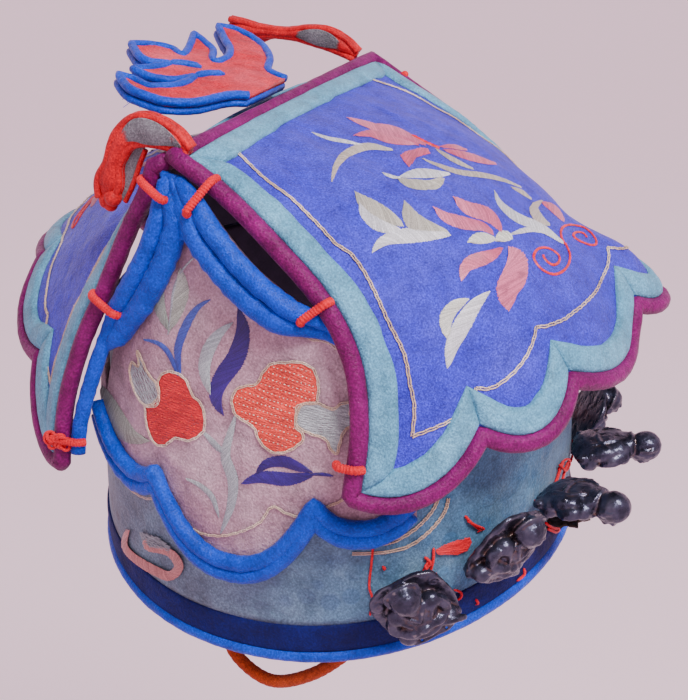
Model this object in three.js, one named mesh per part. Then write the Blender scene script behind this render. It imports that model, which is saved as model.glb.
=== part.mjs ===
// A child's silk wind hat shaped like a little pavilion: an oval band, two gable panels,
// front and back roof panels with scalloped eaves, a flame crest, two ridge horns,
// red thread ties, cast figures across the brow and a cord loop inside each side.
// Millimetres, +Z up, front of the hat towards -Y, wearer's right side towards -X.
// The origin is the middle of the opening, level with the rim over the ears.
import * as THREE from 'three';

// Rim and band
const RIM_WIDTH = 157;
const RIM_DEPTH = 153;
const OVAL_POWER = 2.15;
const RIM_RISE = 12;
const RIM_PIPE = 4;
const BORDER_HEIGHT = 8.5;
const BORDER_WALL = 3;
const BORDER_PROUD = 0.4;
const BAND_TOP = 90;
const BAND_WALL = 2.4;
const BAND_LEAN = 5;
const CLEARANCE = 0.3;

// Ridge and roof panels
const RIDGE_LENGTH = 136;
const RIDGE_HEIGHT = 147;
const RIDGE_BACK = 21;
const ROOF_WALL = 1.6;
const BINDING = 5;
const TRIM_WIDTH = 7;
const TRIM_THICKNESS = 1;
const LOBE_DEPTH = 9;
const CUSP_SHARES = [-1, -0.73, -0.347, 0.347, 0.73, 1];
const FRONT_EAVE_REACH = 11.5;
const FRONT_EAVE_HEIGHT = 87;
const FRONT_CORNER_REACH = 5;
const FRONT_CORNER_Y = 39.5;
const FRONT_CORNER_HEIGHT = 65;
const FRONT_SAG = 2.4;
const FRONT_FLARE = 9;
const FLARE_MIDDLE = 0.52;
const FLARE_REACH = 0.42;
const FLARE_START = 0.7;
const BACK_EAVE_REACH = 21.5;
const BACK_EAVE_HEIGHT = 100;
const BACK_CORNER_REACH = 2.5;
const BACK_CORNER_Y = 54;
const BACK_CORNER_HEIGHT = 54;
const BACK_SAG = 2;

// Gable panels on the two sides
const GABLE_WALL = 1.6;
const GABLE_FRONT = 50;
const GABLE_BACK = 52;
const GABLE_HEM_HEIGHT = 50;
const GABLE_HEM_BACK_RISE = 10;
const GABLE_LEAN = 13.5;
const GABLE_LEAN_START = 58;
const GABLE_UNDER_ROOF = 6.5;
const GABLE_CUSP_FRONT = 26;
const GABLE_CUSP_BACK = 24;
const GABLE_LOBE = 22;
const GABLE_SIDE_LOBE = 7;
const HEM_ROUNDNESS = 2.4;
const GABLE_PIPE = 5.6;
const HEM_PIPE = 4.6;
const EDGING_GAP = 3.2;
const PEAK_DROP = 6.2;
const PEAK_FORWARD = 1.5;

// Thread ties between roof and gable
const TIE_THICKNESS = 2;
const TIE_REACH = 3;
const TIE_DIP = 0.9;
const TIE_SHARES = [0.12, 0.56, 0.94];

// Flame crest
const FLAME_LENGTH = 46;
const FLAME_SPREAD = 79;
const FLAME_SHIFT = -9;
const FLAME_FELT = 1.6;
const FLAME_BACKING = 2;
const FLAME_SLOPE = 0.18;

// Ridge horns
const HORN_LENGTH = 50;
const HORN_HEIGHT = 9;
const HORN_THICKNESS = 5;
const HORN_INSET = 3;
const HORN_INSERT = 1;

// Cast figures and dark tags sewn across the brow
const FIGURE_HEIGHT = 29;
const FIGURE_WIDTH = 25;
const FIGURE_DEPTH = 9;
const FIGURE_LIFTS = [12, 26, 42];
const FIGURE_TURNS = [38, 59, 79];
const FIGURE_TIPS = [18, 26, 80];
const TAG_TURNS = { upper: -97, lower: -84 };
const TAG_LIFTS = { upper: 74, lower: 27 };
const TAG_TIP = 78;
const TAG_LENGTH = 13;
const TAG_WIDTH = 12;
const TAG_THICKNESS = 1.2;

// Cord loops
const CORD = 4;
const CORD_SIDES = 8;
const CORD_STEPS = 12;

const colours = {
  band: ['#5f86a0', 0.6], border: ['#1c3f9c', 0.6], royal: ['#1f4fc0', 0.5],
  satin: ['#5550bd', 0.45], teal: ['#86b8c4', 0.5], magenta: ['#8f1f70', 0.55],
  lavender: ['#b3a5b4', 0.6], thread: ['#c8202c', 0.7], felt: ['#d0505c', 0.9], tag: ['#2a2320', 0.6, 0.6],
  horn: ['#cc2a38', 0.7], insert: ['#8a9196', 0.6], pewter: ['#4a4c5a', 0.4, 0.8],
  cord: ['#b9655c', 0.8],
};
const materials = {};
for (const [name, [color, roughness, metalness = 0]] of Object.entries(colours)) {
  materials[name] = new THREE.MeshStandardMaterial({ color, roughness, metalness });
}

const group = new THREE.Group();
const vec = (x, y, z) => new THREE.Vector3(x, y, z);
const mix = (a, b, t) => a + (b - a) * t;
const clamp = (t) => Math.min(1, Math.max(0, t));
const smooth = (t) => clamp(t) ** 2 * (3 - 2 * clamp(t));

function add(name, material, geometry) {
  const mesh = new THREE.Mesh(geometry, materials[material]);
  mesh.name = name;
  group.add(mesh);
  return mesh;
}

// One closed body from points and triangles, turned so that its faces point out
function body(points, triangles) {
  let volume = 0;
  for (const [a, b, c] of triangles) volume += points[a].dot(points[b].clone().cross(points[c]));
  const index = triangles.flatMap(([a, b, c]) => (volume < 0 ? [a, c, b] : [a, b, c]));
  const geometry = new THREE.BufferGeometry();
  geometry.setAttribute('position', new THREE.Float32BufferAttribute(points.flatMap((p) => p.toArray()), 3));
  geometry.setIndex(index);
  geometry.computeVertexNormals();
  return geometry;
}

// A wall between an outer and an inner face, both read from place(column, row, face)
function wall(columns, rows, place, around = false) {
  const points = [];
  const count = around ? columns : columns + 1;
  const at = (i, j, face) => ((i % count) * (rows + 1) + j) * 2 + face;
  for (let i = 0; i < count; i += 1) {
    for (let j = 0; j <= rows; j += 1) points.push(place(i, j, 0), place(i, j, 1));
  }
  const triangles = [];
  const quad = (a, b, c, d) => triangles.push([a, b, c], [a, c, d]);
  for (let i = 0; i < columns; i += 1) {
    for (let j = 0; j < rows; j += 1) {
      quad(at(i, j, 0), at(i + 1, j, 0), at(i + 1, j + 1, 0), at(i, j + 1, 0));
      quad(at(i, j, 1), at(i, j + 1, 1), at(i + 1, j + 1, 1), at(i + 1, j, 1));
    }
    quad(at(i, 0, 0), at(i, 0, 1), at(i + 1, 0, 1), at(i + 1, 0, 0));
    quad(at(i, rows, 0), at(i + 1, rows, 0), at(i + 1, rows, 1), at(i, rows, 1));
  }
  if (!around) {
    for (let j = 0; j < rows; j += 1) {
      quad(at(0, j, 0), at(0, j + 1, 0), at(0, j + 1, 1), at(0, j, 1));
      quad(at(columns, j, 0), at(columns, j, 1), at(columns, j + 1, 1), at(columns, j + 1, 0));
    }
  }
  return body(points, triangles);
}

// A tube of rings; the rings close on themselves, or the two ends are capped
function rings(list, closed = false) {
  const size = list[0].length;
  const points = list.flat();
  const triangles = [];
  const spans = closed ? list.length : list.length - 1;
  for (let i = 0; i < spans; i += 1) {
    const next = ((i + 1) % list.length) * size;
    for (let k = 0; k < size; k += 1) {
      const m = (k + 1) % size;
      triangles.push([i * size + k, i * size + m, next + m], [i * size + k, next + m, next + k]);
    }
  }
  if (!closed) {
    for (const [start, flip] of [[0, true], [(list.length - 1) * size, false]]) {
      const middle = points.length;
      const sum = points.slice(start, start + size).reduce((total, p) => total.add(p), vec(0, 0, 0));
      points.push(sum.divideScalar(size));
      for (let k = 0; k < size; k += 1) {
        const a = start + k;
        const b = start + (k + 1) % size;
        triangles.push(flip ? [middle, b, a] : [middle, a, b]);
      }
    }
  }
  return body(points, triangles);
}

// Rings of one section along a path; each stop gives a place, the way out of the cloth and
// the section as pairs [across, out]
function sweep(stops, closed = false) {
  const last = stops.length - 1;
  return rings(stops.map((stop, i) => {
    const before = stops[closed ? (i + last) % (last + 1) : Math.max(0, i - 1)].place;
    const after = stops[closed ? (i + 1) % (last + 1) : Math.min(last, i + 1)].place;
    const along = after.clone().sub(before).normalize();
    const across = along.clone().cross(stop.out).normalize();
    const out = across.clone().cross(along).normalize();
    const spot = ([a, b]) => stop.place.clone().addScaledVector(across, a).addScaledVector(out, b);
    return stop.section.map(spot);
  }), closed);
}

const round = (radius, sides = 6) => Array.from({ length: sides }, (unused, i) => {
  const angle = (i + 0.5) * 2 * Math.PI / sides;
  return [radius * Math.cos(angle), radius * Math.sin(angle)];
});

// Two round pipings side by side; the second lies inward by spread radii. The crease between them
// closes where they become one
const CREASE = 1.25;
function double(radius, spread, side) {
  const pinch = Math.max(CREASE, Math.acos(spread / 2) + 0.1);
  const turn = (from, to, centre) => Array.from({ length: 4 }, (unused, i) => {
    const angle = mix(from, to, i / 3);
    return [side * (centre + radius * Math.cos(angle)), radius * Math.sin(angle)];
  });
  return [...turn(pinch, 2 * Math.PI - pinch, 0), ...turn(pinch - Math.PI, Math.PI - pinch, spread * radius)];
}

// Oval of the hat at an angle, counted from the right ear towards the nape
function ovalPoint(angle, grow, z) {
  const c = -Math.cos(angle);
  const s = Math.sin(angle);
  const halfWidth = RIM_WIDTH / 2 + grow;
  const halfDepth = RIM_DEPTH / 2 + grow;
  return vec(
    halfWidth * Math.sign(c) * Math.abs(c) ** (2 / OVAL_POWER),
    halfDepth * Math.sign(s) * Math.abs(s) ** (2 / OVAL_POWER),
    z,
  );
}
const rimHeight = (y) => RIM_RISE * (y / (RIM_DEPTH / 2)) ** 2;

// Half width of the oval at a depth y
function ovalX(y, grow) {
  const share = clamp(Math.abs(y) / (RIM_DEPTH / 2 + grow));
  return (RIM_WIDTH / 2 + grow) * (1 - share ** OVAL_POWER) ** (1 / OVAL_POWER);
}

// Rim piping, border and band
const RIM_STEPS = 44;
const BAND_SET_IN = 1.2;
const borderFoot = RIM_PIPE + CLEARANCE;
const bandFoot = borderFoot + BORDER_HEIGHT + CLEARANCE;
const bandLean = (z) => BAND_LEAN * clamp(z / BAND_TOP) ** 3;
function ringWall(rows, grow, depth, foot, top) {
  return wall(RIM_STEPS, rows, (i, j, face) => {
    const angle = (i / RIM_STEPS) * 2 * Math.PI;
    const level = ovalPoint(angle, 0, 0);
    const z = mix(rimHeight(level.y) + foot, top(level.y), j / rows);
    return ovalPoint(angle, grow - bandLean(z) - face * depth, z);
  }, true);
}
add('crown_band', 'band', ringWall(3, -BAND_SET_IN, BAND_WALL, bandFoot, () => BAND_TOP));
add('rim_border', 'border', ringWall(1, -BAND_SET_IN + BORDER_PROUD, BORDER_WALL, borderFoot,
  (y) => rimHeight(y) + borderFoot + BORDER_HEIGHT));
add('rim_piping', 'royal', sweep(Array.from({ length: RIM_STEPS }, (unused, i) => {
  const angle = (i / RIM_STEPS) * 2 * Math.PI;
  const place = ovalPoint(angle, -RIM_PIPE / 2, 0);
  place.z = rimHeight(place.y) + RIM_PIPE / 2;
  return { place, out: vec(place.x, place.y, 0).normalize(), section: round(RIM_PIPE / 2) };
}), true));

// Roof panels. Columns: share of the way down, then run and drop of the middle line,
// run and drop of the side edge, and how far the side edge has widened
const FRONT_PROFILE = [
  [0, 0, 0, 0, 0, 0],
  [0.15, 0.18, 0.06, 0.24, 0.1, 0],
  [0.35, 0.42, 0.2, 0.52, 0.235, 0.2],
  [0.55, 0.65, 0.4, 0.78, 0.4, 0.3],
  [0.72, 0.81, 0.59, 0.94, 0.585, 0.42],
  [0.87, 0.92, 0.78, 1, 0.8, 0.65],
  [1, 1, 1, 1, 1, 1],
];
const BACK_PROFILE = [
  [0, 0, 0, 0, 0, 0],
  [0.15, 0.185, 0.08, 0.12, 0.11, 0],
  [0.35, 0.395, 0.25, 0.35, 0.25, 0.04],
  [0.55, 0.58, 0.45, 0.61, 0.45, 0.23],
  [0.72, 0.74, 0.65, 0.83, 0.62, 0.46],
  [0.87, 0.87, 0.82, 0.985, 0.82, 0.73],
  [1, 1, 1, 1, 1, 1],
];
const roofs = {
  front: {
    way: -1, profile: FRONT_PROFILE, eave: -RIM_DEPTH / 2 - FRONT_EAVE_REACH, eaveHeight: FRONT_EAVE_HEIGHT,
    cornerX: RIM_WIDTH / 2 + FRONT_CORNER_REACH, cornerY: -FRONT_CORNER_Y, cornerHeight: FRONT_CORNER_HEIGHT,
    sag: FRONT_SAG, flare: FRONT_FLARE,
  },
  back: {
    way: 1, profile: BACK_PROFILE, eave: RIM_DEPTH / 2 + BACK_EAVE_REACH, eaveHeight: BACK_EAVE_HEIGHT,
    cornerX: RIM_WIDTH / 2 + BACK_CORNER_REACH, cornerY: BACK_CORNER_Y, cornerHeight: BACK_CORNER_HEIGHT,
    sag: BACK_SAG, flare: 0,
  },
};

// Smooth reading of a table column: a Catmull-Rom curve through its rows
function readSmooth(table, key, column) {
  let row = 0;
  while (row < table.length - 2 && key > table[row + 1][0]) row += 1;
  const [p0, p1, p2, p3] = [Math.max(0, row - 1), row, row + 1, Math.min(table.length - 1, row + 2)]
    .map((i) => table[i]);
  const span = p2[0] - p1[0];
  const t = (key - p1[0]) / span;
  const slope1 = p1 === p0 ? (p2[column] - p1[column]) / span : (p2[column] - p0[column]) / (p2[0] - p0[0]);
  const slope2 = p3 === p2 ? (p2[column] - p1[column]) / span : (p3[column] - p1[column]) / (p3[0] - p1[0]);
  return p1[column] * (1 + 2 * t) * (1 - t) ** 2 + p2[column] * t * t * (3 - 2 * t)
    + span * (slope1 * t * (1 - t) ** 2 - slope2 * t * t * (1 - t));
}

// Middle surface of a roof panel: u runs -1 to 1 along the ridge, v from ridge to eave
const ridgeY = (roof) => RIDGE_BACK + roof.way * (BINDING / 2 + CLEARANCE / 2);
function roofInside(roof, u, v) {
  const start = ridgeY(roof);
  const read = (column) => readSmooth(roof.profile, v, column);
  const blend = Math.abs(u) ** roof.sag;
  const outward = smooth((v - FLARE_START) / (1 - FLARE_START));
  const flare = roof.flare * outward * smooth(1 - Math.abs(u - FLARE_MIDDLE) / FLARE_REACH);
  const middleY = mix(start, roof.eave, read(1));
  const middleZ = mix(RIDGE_HEIGHT, roof.eaveHeight, read(2));
  const edgeY = mix(start, roof.cornerY, read(3));
  const edgeZ = mix(RIDGE_HEIGHT, roof.cornerHeight, read(4));
  const halfWidth = mix(RIDGE_LENGTH / 2, roof.cornerX, read(5));
  const y = mix(middleY, edgeY, blend) + roof.way * flare;
  return vec(u * halfWidth, y, mix(middleZ, edgeZ, blend) + flare / 2);
}
function roofPoint(roof, u, v) {
  if (v <= 1) return roofInside(roof, u, v);
  const edge = roofInside(roof, u, 1);
  const way = edge.clone().sub(roofInside(roof, u, 0.94)).normalize();
  return edge.addScaledVector(way, (v - 1) * roofLength(roof));
}
const roofLength = (roof) => Math.hypot(roof.eave - ridgeY(roof), RIDGE_HEIGHT - roof.eaveHeight) * 1.08;
function roofNormal(roof, u, v) {
  const step = 0.01;
  const cu = Math.max(-1 + step, Math.min(1 - step, u));
  const along = roofPoint(roof, cu + step, v).sub(roofPoint(roof, cu - step, v));
  const down = roofPoint(roof, cu, Math.max(0, v) + step).sub(roofPoint(roof, cu, Math.max(0, v - step)));
  return along.cross(down).multiplyScalar(roof.way).normalize();
}

// Depth of the scallops below the straight eave, as a share of the panel's length
function lobe(roof, u) {
  const span = CUSP_SHARES.findIndex((cusp, i) => i > 0 && u <= cusp + 1e-9);
  const [from, to] = [CUSP_SHARES[span - 1], CUSP_SHARES[span]];
  const t = (2 * u - from - to) / (to - from);
  return (LOBE_DEPTH / roofLength(roof)) * Math.max(0, 1 - t * t);
}

const LOBE_STEPS = 5;
function eaveStops() {
  const list = [];
  for (let k = 0; k < CUSP_SHARES.length - 1; k += 1) {
    for (let i = 0; i < LOBE_STEPS; i += 1) {
      const t = 0.5 - 0.5 * Math.cos(Math.PI * i / LOBE_STEPS);
      list.push(mix(CUSP_SHARES[k], CUSP_SHARES[k + 1], t));
    }
  }
  return [...list, 1];
}
const EAVE_STOPS = eaveStops();
const SIDE_STOPS = [0.12, 0.26, 0.4, 0.52, 0.63, 0.74, 0.85];
const RIDGE_STOPS = [0.8, 0.55, 0.28, 0, -0.28, -0.55, -0.8];

// Outline of a panel as pairs [u, v], going round once
function roofOutline(roof) {
  return [
    ...EAVE_STOPS.map((u) => [u, 1 + lobe(roof, u)]),
    ...[...SIDE_STOPS].reverse().map((v) => [1, v]),
    [1, 0],
    ...RIDGE_STOPS.map((u) => [u, 0]),
    [-1, 0],
    ...SIDE_STOPS.map((v) => [-1, v]),
  ];
}

// Nearest spot of the middle surface to a point, as [u, v], by Newton's steps from a start
function locate(roof, point, start) {
  let [u, v] = start;
  const step = 0.005;
  for (let turn = 0; turn < 3; turn += 1) {
    const along = roofPoint(roof, u + step, v).sub(roofPoint(roof, u - step, v)).divideScalar(2 * step);
    const down = roofPoint(roof, u, v + step).sub(roofPoint(roof, u, v - step)).divideScalar(2 * step);
    const away = point.clone().sub(roofPoint(roof, u, v));
    const [aa, ab, bb] = [along.dot(along), along.dot(down), down.dot(down)];
    const [ap, bp] = [away.dot(along), away.dot(down)];
    const scale = aa * bb - ab * ab;
    u += (ap * bb - bp * ab) / scale;
    v += (bp * aa - ap * ab) / scale;
  }
  return [u, v];
}

// The panel's outline set in by a width, with mitred corners and cusps
function setIn(roof, outline, width) {
  const places = outline.map(([u, v]) => roofPoint(roof, u, v));
  return outline.map(([u, v], i) => {
    const normal = roofNormal(roof, u, Math.min(v, 1));
    const before = places[(i + outline.length - 1) % outline.length];
    const after = places[(i + 1) % outline.length];
    const inward = (from, to) => to.clone().sub(from).cross(normal).multiplyScalar(roof.way).normalize();
    const [one, two] = [inward(before, places[i]), inward(places[i], after)];
    const mitre = one.clone().add(two).multiplyScalar(width / (1 + one.dot(two)));
    return locate(roof, places[i].clone().add(mitre), [u, v]);
  });
}

const ROOF_ROWS = 13;
const RIDGE_STEP = 0.03;
const sheetInset = BINDING / 2 + 2 * CLEARANCE;
function addRoof(side) {
  const roof = roofs[side];
  const outline = roofOutline(roof);
  const lift = (u, v, height) => roofPoint(roof, u, v).addScaledVector(roofNormal(roof, u, v), height);
  const sheetEdge = setIn(roof, outline, sheetInset);
  const sheetTop = EAVE_STOPS.map((stop) => {
    const u = stop * (1 - 2 * sheetInset / RIDGE_LENGTH);
    const start = roofPoint(roof, u, 0);
    const down = roofPoint(roof, u, RIDGE_STEP).sub(start).setLength(sheetInset);
    return locate(roof, start.add(down), [u, RIDGE_STEP]);
  });
  add(`${side}_roof_panel`, 'satin', wall(EAVE_STOPS.length - 1, ROOF_ROWS, (i, j, face) => {
    const share = j / ROOF_ROWS;
    const spot = [0, 1].map((k) => mix(sheetTop[i][k], sheetEdge[i][k], share));
    return lift(...spot, ROOF_WALL * (0.5 - face));
  }));
  const trimFoot = ROOF_WALL / 2 + 3 * CLEARANCE;
  const trimInner = setIn(roof, outline, sheetInset + TRIM_WIDTH);
  const trimEdges = [sheetEdge, trimInner];
  add(`${side}_roof_trim`, 'teal', wall(outline.length, 1, (i, j, face) =>
    lift(...trimEdges[j][i], trimFoot + TRIM_THICKNESS * (1 - face)), true));
  add(`${side}_roof_binding`, 'magenta', sweep(outline.map(([u, v]) => ({
    place: roofPoint(roof, u, v), out: roofNormal(roof, u, v), section: round(BINDING / 2),
  })), true));
}
addRoof('front');
addRoof('back');

// Gables. The sheet stands on the band's oval and leans in towards the ridge
const gableGrow = -BAND_SET_IN + 2 * CLEARANCE + GABLE_WALL / 2;
function gablePoint(side, y, z, out) {
  const lean = GABLE_LEAN * clamp((z - GABLE_LEAN_START) / (RIDGE_HEIGHT - GABLE_LEAN_START)) ** 1.5;
  return vec(side * (ovalX(y, gableGrow) - lean + out), y, z);
}
function roofEdgeHeight(y) {
  const roof = y < RIDGE_BACK ? roofs.front : roofs.back;
  let v = 0;
  while (v < 0.74 && roof.way * (roofInside(roof, 1, v).y - y) < 0) v += 0.01;
  return roofInside(roof, 1, v).z;
}
const HEM_CUSPS = [-GABLE_FRONT, -GABLE_CUSP_FRONT, GABLE_CUSP_BACK, GABLE_BACK];
const HEM_DEPTHS = [GABLE_SIDE_LOBE, GABLE_LOBE, GABLE_SIDE_LOBE];
const HEM_HEIGHTS = [0, 0, 0, GABLE_HEM_BACK_RISE].map((rise) => GABLE_HEM_HEIGHT + rise);
function hemHeight(y) {
  const span = Math.max(1, HEM_CUSPS.findIndex((cusp, i) => i > 0 && y <= cusp + 1e-9));
  const [from, to] = [HEM_CUSPS[span - 1], HEM_CUSPS[span]];
  const t = (2 * y - from - to) / (to - from);
  const straight = mix(HEM_HEIGHTS[span - 1], HEM_HEIGHTS[span], (t + 1) / 2);
  return straight - HEM_DEPTHS[span - 1] * Math.max(0, 1 - Math.abs(t) ** HEM_ROUNDNESS);
}
function steps(from, to, count) {
  const ease = (share) => 0.5 - 0.5 * Math.cos(Math.PI * share);
  return Array.from({ length: count }, (unused, i) => mix(from, to, ease(i / count)));
}
const HEM_STOPS = [
  ...steps(HEM_CUSPS[0], HEM_CUSPS[1], 4), ...steps(HEM_CUSPS[1], HEM_CUSPS[2], 9),
  ...steps(HEM_CUSPS[2], HEM_CUSPS[3], 4), HEM_CUSPS[3],
];
const GABLE_STOPS = [...new Set([...HEM_STOPS, RIDGE_BACK])].sort((a, b) => a - b);
const GABLE_ROWS = 7;

// Path of the royal blue edging: it follows the roof panel's side edge, and bows away from it
// between the ties. The gable's own cloth lies behind it. In front it ends behind the roof's
// edge; at the back its outer piping goes on alone to the roof's corner
const EDGING_STEPS = 16;
const EDGING_TOP = 0.03;
const EDGING_ENDS = { front: 0.68, back: 0.97 };
const EDGING_SINGLE = 0.6;
const EDGING_THIN = 0.8;
const EDGING_TOP_SIZE = 0.55;
const EDGING_SPREAD = 1.8;
const EDGING_FADE = 0.12;
const LOWER_BOW = 0.3;
function edgingStop(name, side, share) {
  const roof = roofs[name];
  const v = mix(EDGING_TOP, EDGING_ENDS[name], share);
  const edge = roofInside(roof, 1, v);
  const ahead = roofInside(roof, 1, v + 0.01).sub(roofInside(roof, 1, v - 0.01));
  const inward = vec(0, -roof.way * Math.abs(ahead.z), -Math.abs(ahead.y)).normalize();
  const thin = mix(1, EDGING_THIN, smooth((v - EDGING_SINGLE) / EDGING_FADE));
  const radius = mix(EDGING_TOP_SIZE, thin, smooth(v / EDGING_FADE)) * GABLE_PIPE / 2;
  const [top, middle, corner] = TIE_SHARES;
  const bow = EDGING_GAP * Math.max(
    Math.sin(Math.PI * clamp((v - top) / (middle - top))),
    LOWER_BOW * Math.sin(Math.PI * clamp((v - middle) / (corner - middle))),
  );
  const away = BINDING / 2 + radius + 2 * CLEARANCE + bow;
  const opening = smooth((v - EDGING_FADE / 2) / EDGING_FADE);
  const spread = EDGING_SPREAD * opening * (1 - smooth((v - EDGING_SINGLE) / EDGING_FADE));
  const spot = edge.clone().addScaledVector(inward, away);
  const join = smooth(1 - v / EDGING_FADE);
  spot.y = mix(spot.y, RIDGE_BACK - PEAK_FORWARD + roof.way * (radius + 4 * CLEARANCE), join);
  spot.z = mix(spot.z, RIDGE_HEIGHT - PEAK_DROP, join);
  const inner = spot.clone().addScaledVector(inward, spread * radius);
  const foot = GABLE_WALL / 2 + 2 * CLEARANCE + radius;
  const cloth = Math.max(...[spot, inner].map((p) => gablePoint(1, p.y, p.z, foot).x));
  spot.x = side * Math.max(edge.x, cloth);
  return { place: spot, out: vec(side, 0, 0.15), radius, spread };
}
function addGable(name, side) {
  add(`${name}_gable_panel`, 'lavender', wall(GABLE_STOPS.length - 1, GABLE_ROWS, (i, j, face) => {
    const y = GABLE_STOPS[i];
    const z = mix(hemHeight(y), roofEdgeHeight(y) - GABLE_UNDER_ROOF, j / GABLE_ROWS);
    return gablePoint(side, y, z, GABLE_WALL * (0.5 - face));
  }));
  for (const way of ['front', 'back']) {
    const turn = side * roofs[way].way;
    const stops = Array.from({ length: EDGING_STEPS + 1 }, (unused, i) => {
      const stop = edgingStop(way, side, i / EDGING_STEPS);
      return { ...stop, section: double(stop.radius, stop.spread, turn) };
    });
    add(`${name}_${way}_edging`, 'royal', sweep(stops));
  }
  add(`${name}_hem_edging`, 'royal', sweep(HEM_STOPS.map((y) => {
    const radius = HEM_PIPE / 2;
    const place = gablePoint(side, y, hemHeight(y) + radius, GABLE_WALL / 2 + 2.5 * CLEARANCE + radius);
    return { place, out: vec(place.x, place.y, 0).normalize(), section: double(radius, 1.7, -side) };
  })));
}
addGable('right', -1);
addGable('left', 1);

// Thread ties: each is a short bar over the roof's binding and the gable's edging. Where the edging
// has ended, the bar goes round the binding alone
const TIE_SIDES = 5;
function addTie(name, way, side, share) {
  const roof = roofs[way];
  const edge = roofInside(roof, 1, share);
  edge.x *= side;
  const along = (share - EDGING_TOP) / (EDGING_ENDS[way] - EDGING_TOP);
  const out = vec(side, 0, 0.25).normalize();
  const half = TIE_THICKNESS / 2;
  const over = (spot, radius) => spot.clone().addScaledVector(out, radius + half + 2 * CLEARANCE);
  const first = over(edge, BINDING / 2);
  const pipe = edgingStop(way, side, Math.min(1, along));
  const inside = first.clone().add(vec(0, -roof.way * BINDING / 2, 0));
  const last = along > 1 ? inside : over(pipe.place, pipe.radius);
  const across = last.clone().sub(first).normalize().multiplyScalar(TIE_REACH);
  const path = [first.clone().sub(across), first, last, last.clone().add(across)];
  add(name, 'thread', sweep(path.map((place, i) => ({
    place: place.addScaledVector(out, i % 3 ? 0 : -TIE_DIP), out, section: round(half, TIE_SIDES),
  }))));
}
const TIE_NAMES = ['top', 'middle', 'corner'];
for (const [name, side] of [['right', -1], ['left', 1]]) {
  for (const way of ['front', 'back']) {
    TIE_SHARES.forEach((share, i) => addTie(`${name}_${way}_tie_${TIE_NAMES[i]}`, way, side, share));
  }
}

// Flame crest: a felt face on a blue backing, its base along the ridge, its tongues swept back.
// Rows give the outline as shares of the spread and of the length, round once from the base
const FLAME_OUTLINE = [
  [0.16, 0], [0.2, 0.16], [0.34, 0.27], [0.46, 0.42], [0.52, 0.58], [0.54, 0.74], [0.51, 0.84],
  [0.4, 0.69], [0.3, 0.55], [0.18, 0.46], [0.1, 0.47], [0.13, 0.53], [0.21, 0.6], [0.26, 0.71], [0.31, 0.85],
  [0.16, 0.74], [0.04, 0.68], [0.07, 0.79], [0.04, 0.92], [-0.03, 1], [-0.12, 0.85], [-0.15, 0.74],
  [-0.11, 0.63], [-0.19, 0.66], [-0.28, 0.72], [-0.29, 0.58], [-0.24, 0.46], [-0.15, 0.4],
  [-0.28, 0.4], [-0.38, 0.49], [-0.37, 0.62], [-0.38, 0.72], [-0.46, 0.56], [-0.47, 0.41], [-0.46, 0.28],
  [-0.37, 0.15], [-0.21, 0.08], [-0.15, 0],
];
function addFlamePlate(name, material, thickness, lift) {
  const shape = new THREE.Shape(FLAME_OUTLINE.map(([across, back]) =>
    new THREE.Vector2(across * FLAME_SPREAD + FLAME_SHIFT, back * FLAME_LENGTH)));
  const geometry = new THREE.ExtrudeGeometry(shape, { depth: thickness, bevelEnabled: false });
  const mesh = add(name, material, geometry);
  mesh.rotation.x = Math.atan(FLAME_SLOPE);
  mesh.position.set(0, RIDGE_BACK, RIDGE_HEIGHT + (BINDING + CLEARANCE) / 2 + lift);
}
addFlamePlate('flame_backing', 'royal', FLAME_BACKING, 0);
addFlamePlate('flame_felt', 'felt', FLAME_FELT, FLAME_BACKING + CLEARANCE);

// Ridge horns: flat leaves on edge. Rows: run back from the ridge and rise above it as shares of
// the length, then half height as a share of the full height. The right one droops
const HORN_ROWS = {
  right: [
    [-0.1, 0.08, 0.22], [0, 0.08, 0.42], [0.12, 0.09, 0.48], [0.22, 0.08, 0.48], [0.3, 0.01, 0.46],
    [0.35, -0.1, 0.42], [0.39, -0.21, 0.4], [0.42, -0.31, 0.5], [0.42, -0.36, 0.3],
  ],
  left: [
    [-0.04, 0.08, 0.4], [0.12, 0.09, 0.45], [0.26, 0.1, 0.46], [0.42, 0.11, 0.4], [0.58, 0.1, 0.28],
    [0.72, 0.11, 0.24], [0.86, 0.13, 0.26], [0.98, 0.14, 0.32], [1.02, 0.14, 0.2],
  ],
};
const INSERT_ROWS = [1, 4];
const INSERT_TIP = 0.25;
const INSERT_SHARE = 0.55;
function addHorn(name, side) {
  const x = side * (RIDGE_LENGTH / 2 - HORN_INSET);
  const place = ([run, rise], shift) =>
    vec(x + shift, RIDGE_BACK + run * HORN_LENGTH, RIDGE_HEIGHT + BINDING / 2 + rise * HORN_LENGTH);
  const oval = (height, thickness) => round(1, 8).map(([a, b]) => [a * height, b * thickness]);
  const stops = (rows, height, thickness, shift) => rows.map((row) => ({
    place: place(row, shift), out: vec(-1, 0, 0), section: oval(row[2] * height, thickness / 2),
  }));
  const rows = HORN_ROWS[name];
  add(`${name}_ridge_horn`, 'horn', sweep(stops(rows, HORN_HEIGHT, HORN_THICKNESS, 0)));
  const middle = rows.slice(INSERT_ROWS[0], INSERT_ROWS[1] + 1);
  const shift = -(HORN_THICKNESS + HORN_INSERT) / 2 - CLEARANCE;
  add(`${name}_horn_insert`, 'insert', sweep(middle.map((row, i) => {
    const taper = i === 0 || i === middle.length - 1 ? INSERT_TIP : INSERT_SHARE;
    const section = oval(row[2] * HORN_HEIGHT * taper, HORN_INSERT / 2);
    return { place: place(row, shift), out: vec(-1, 0, 0), section };
  })));
}
addHorn('right', -1);
addHorn('left', 1);

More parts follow.
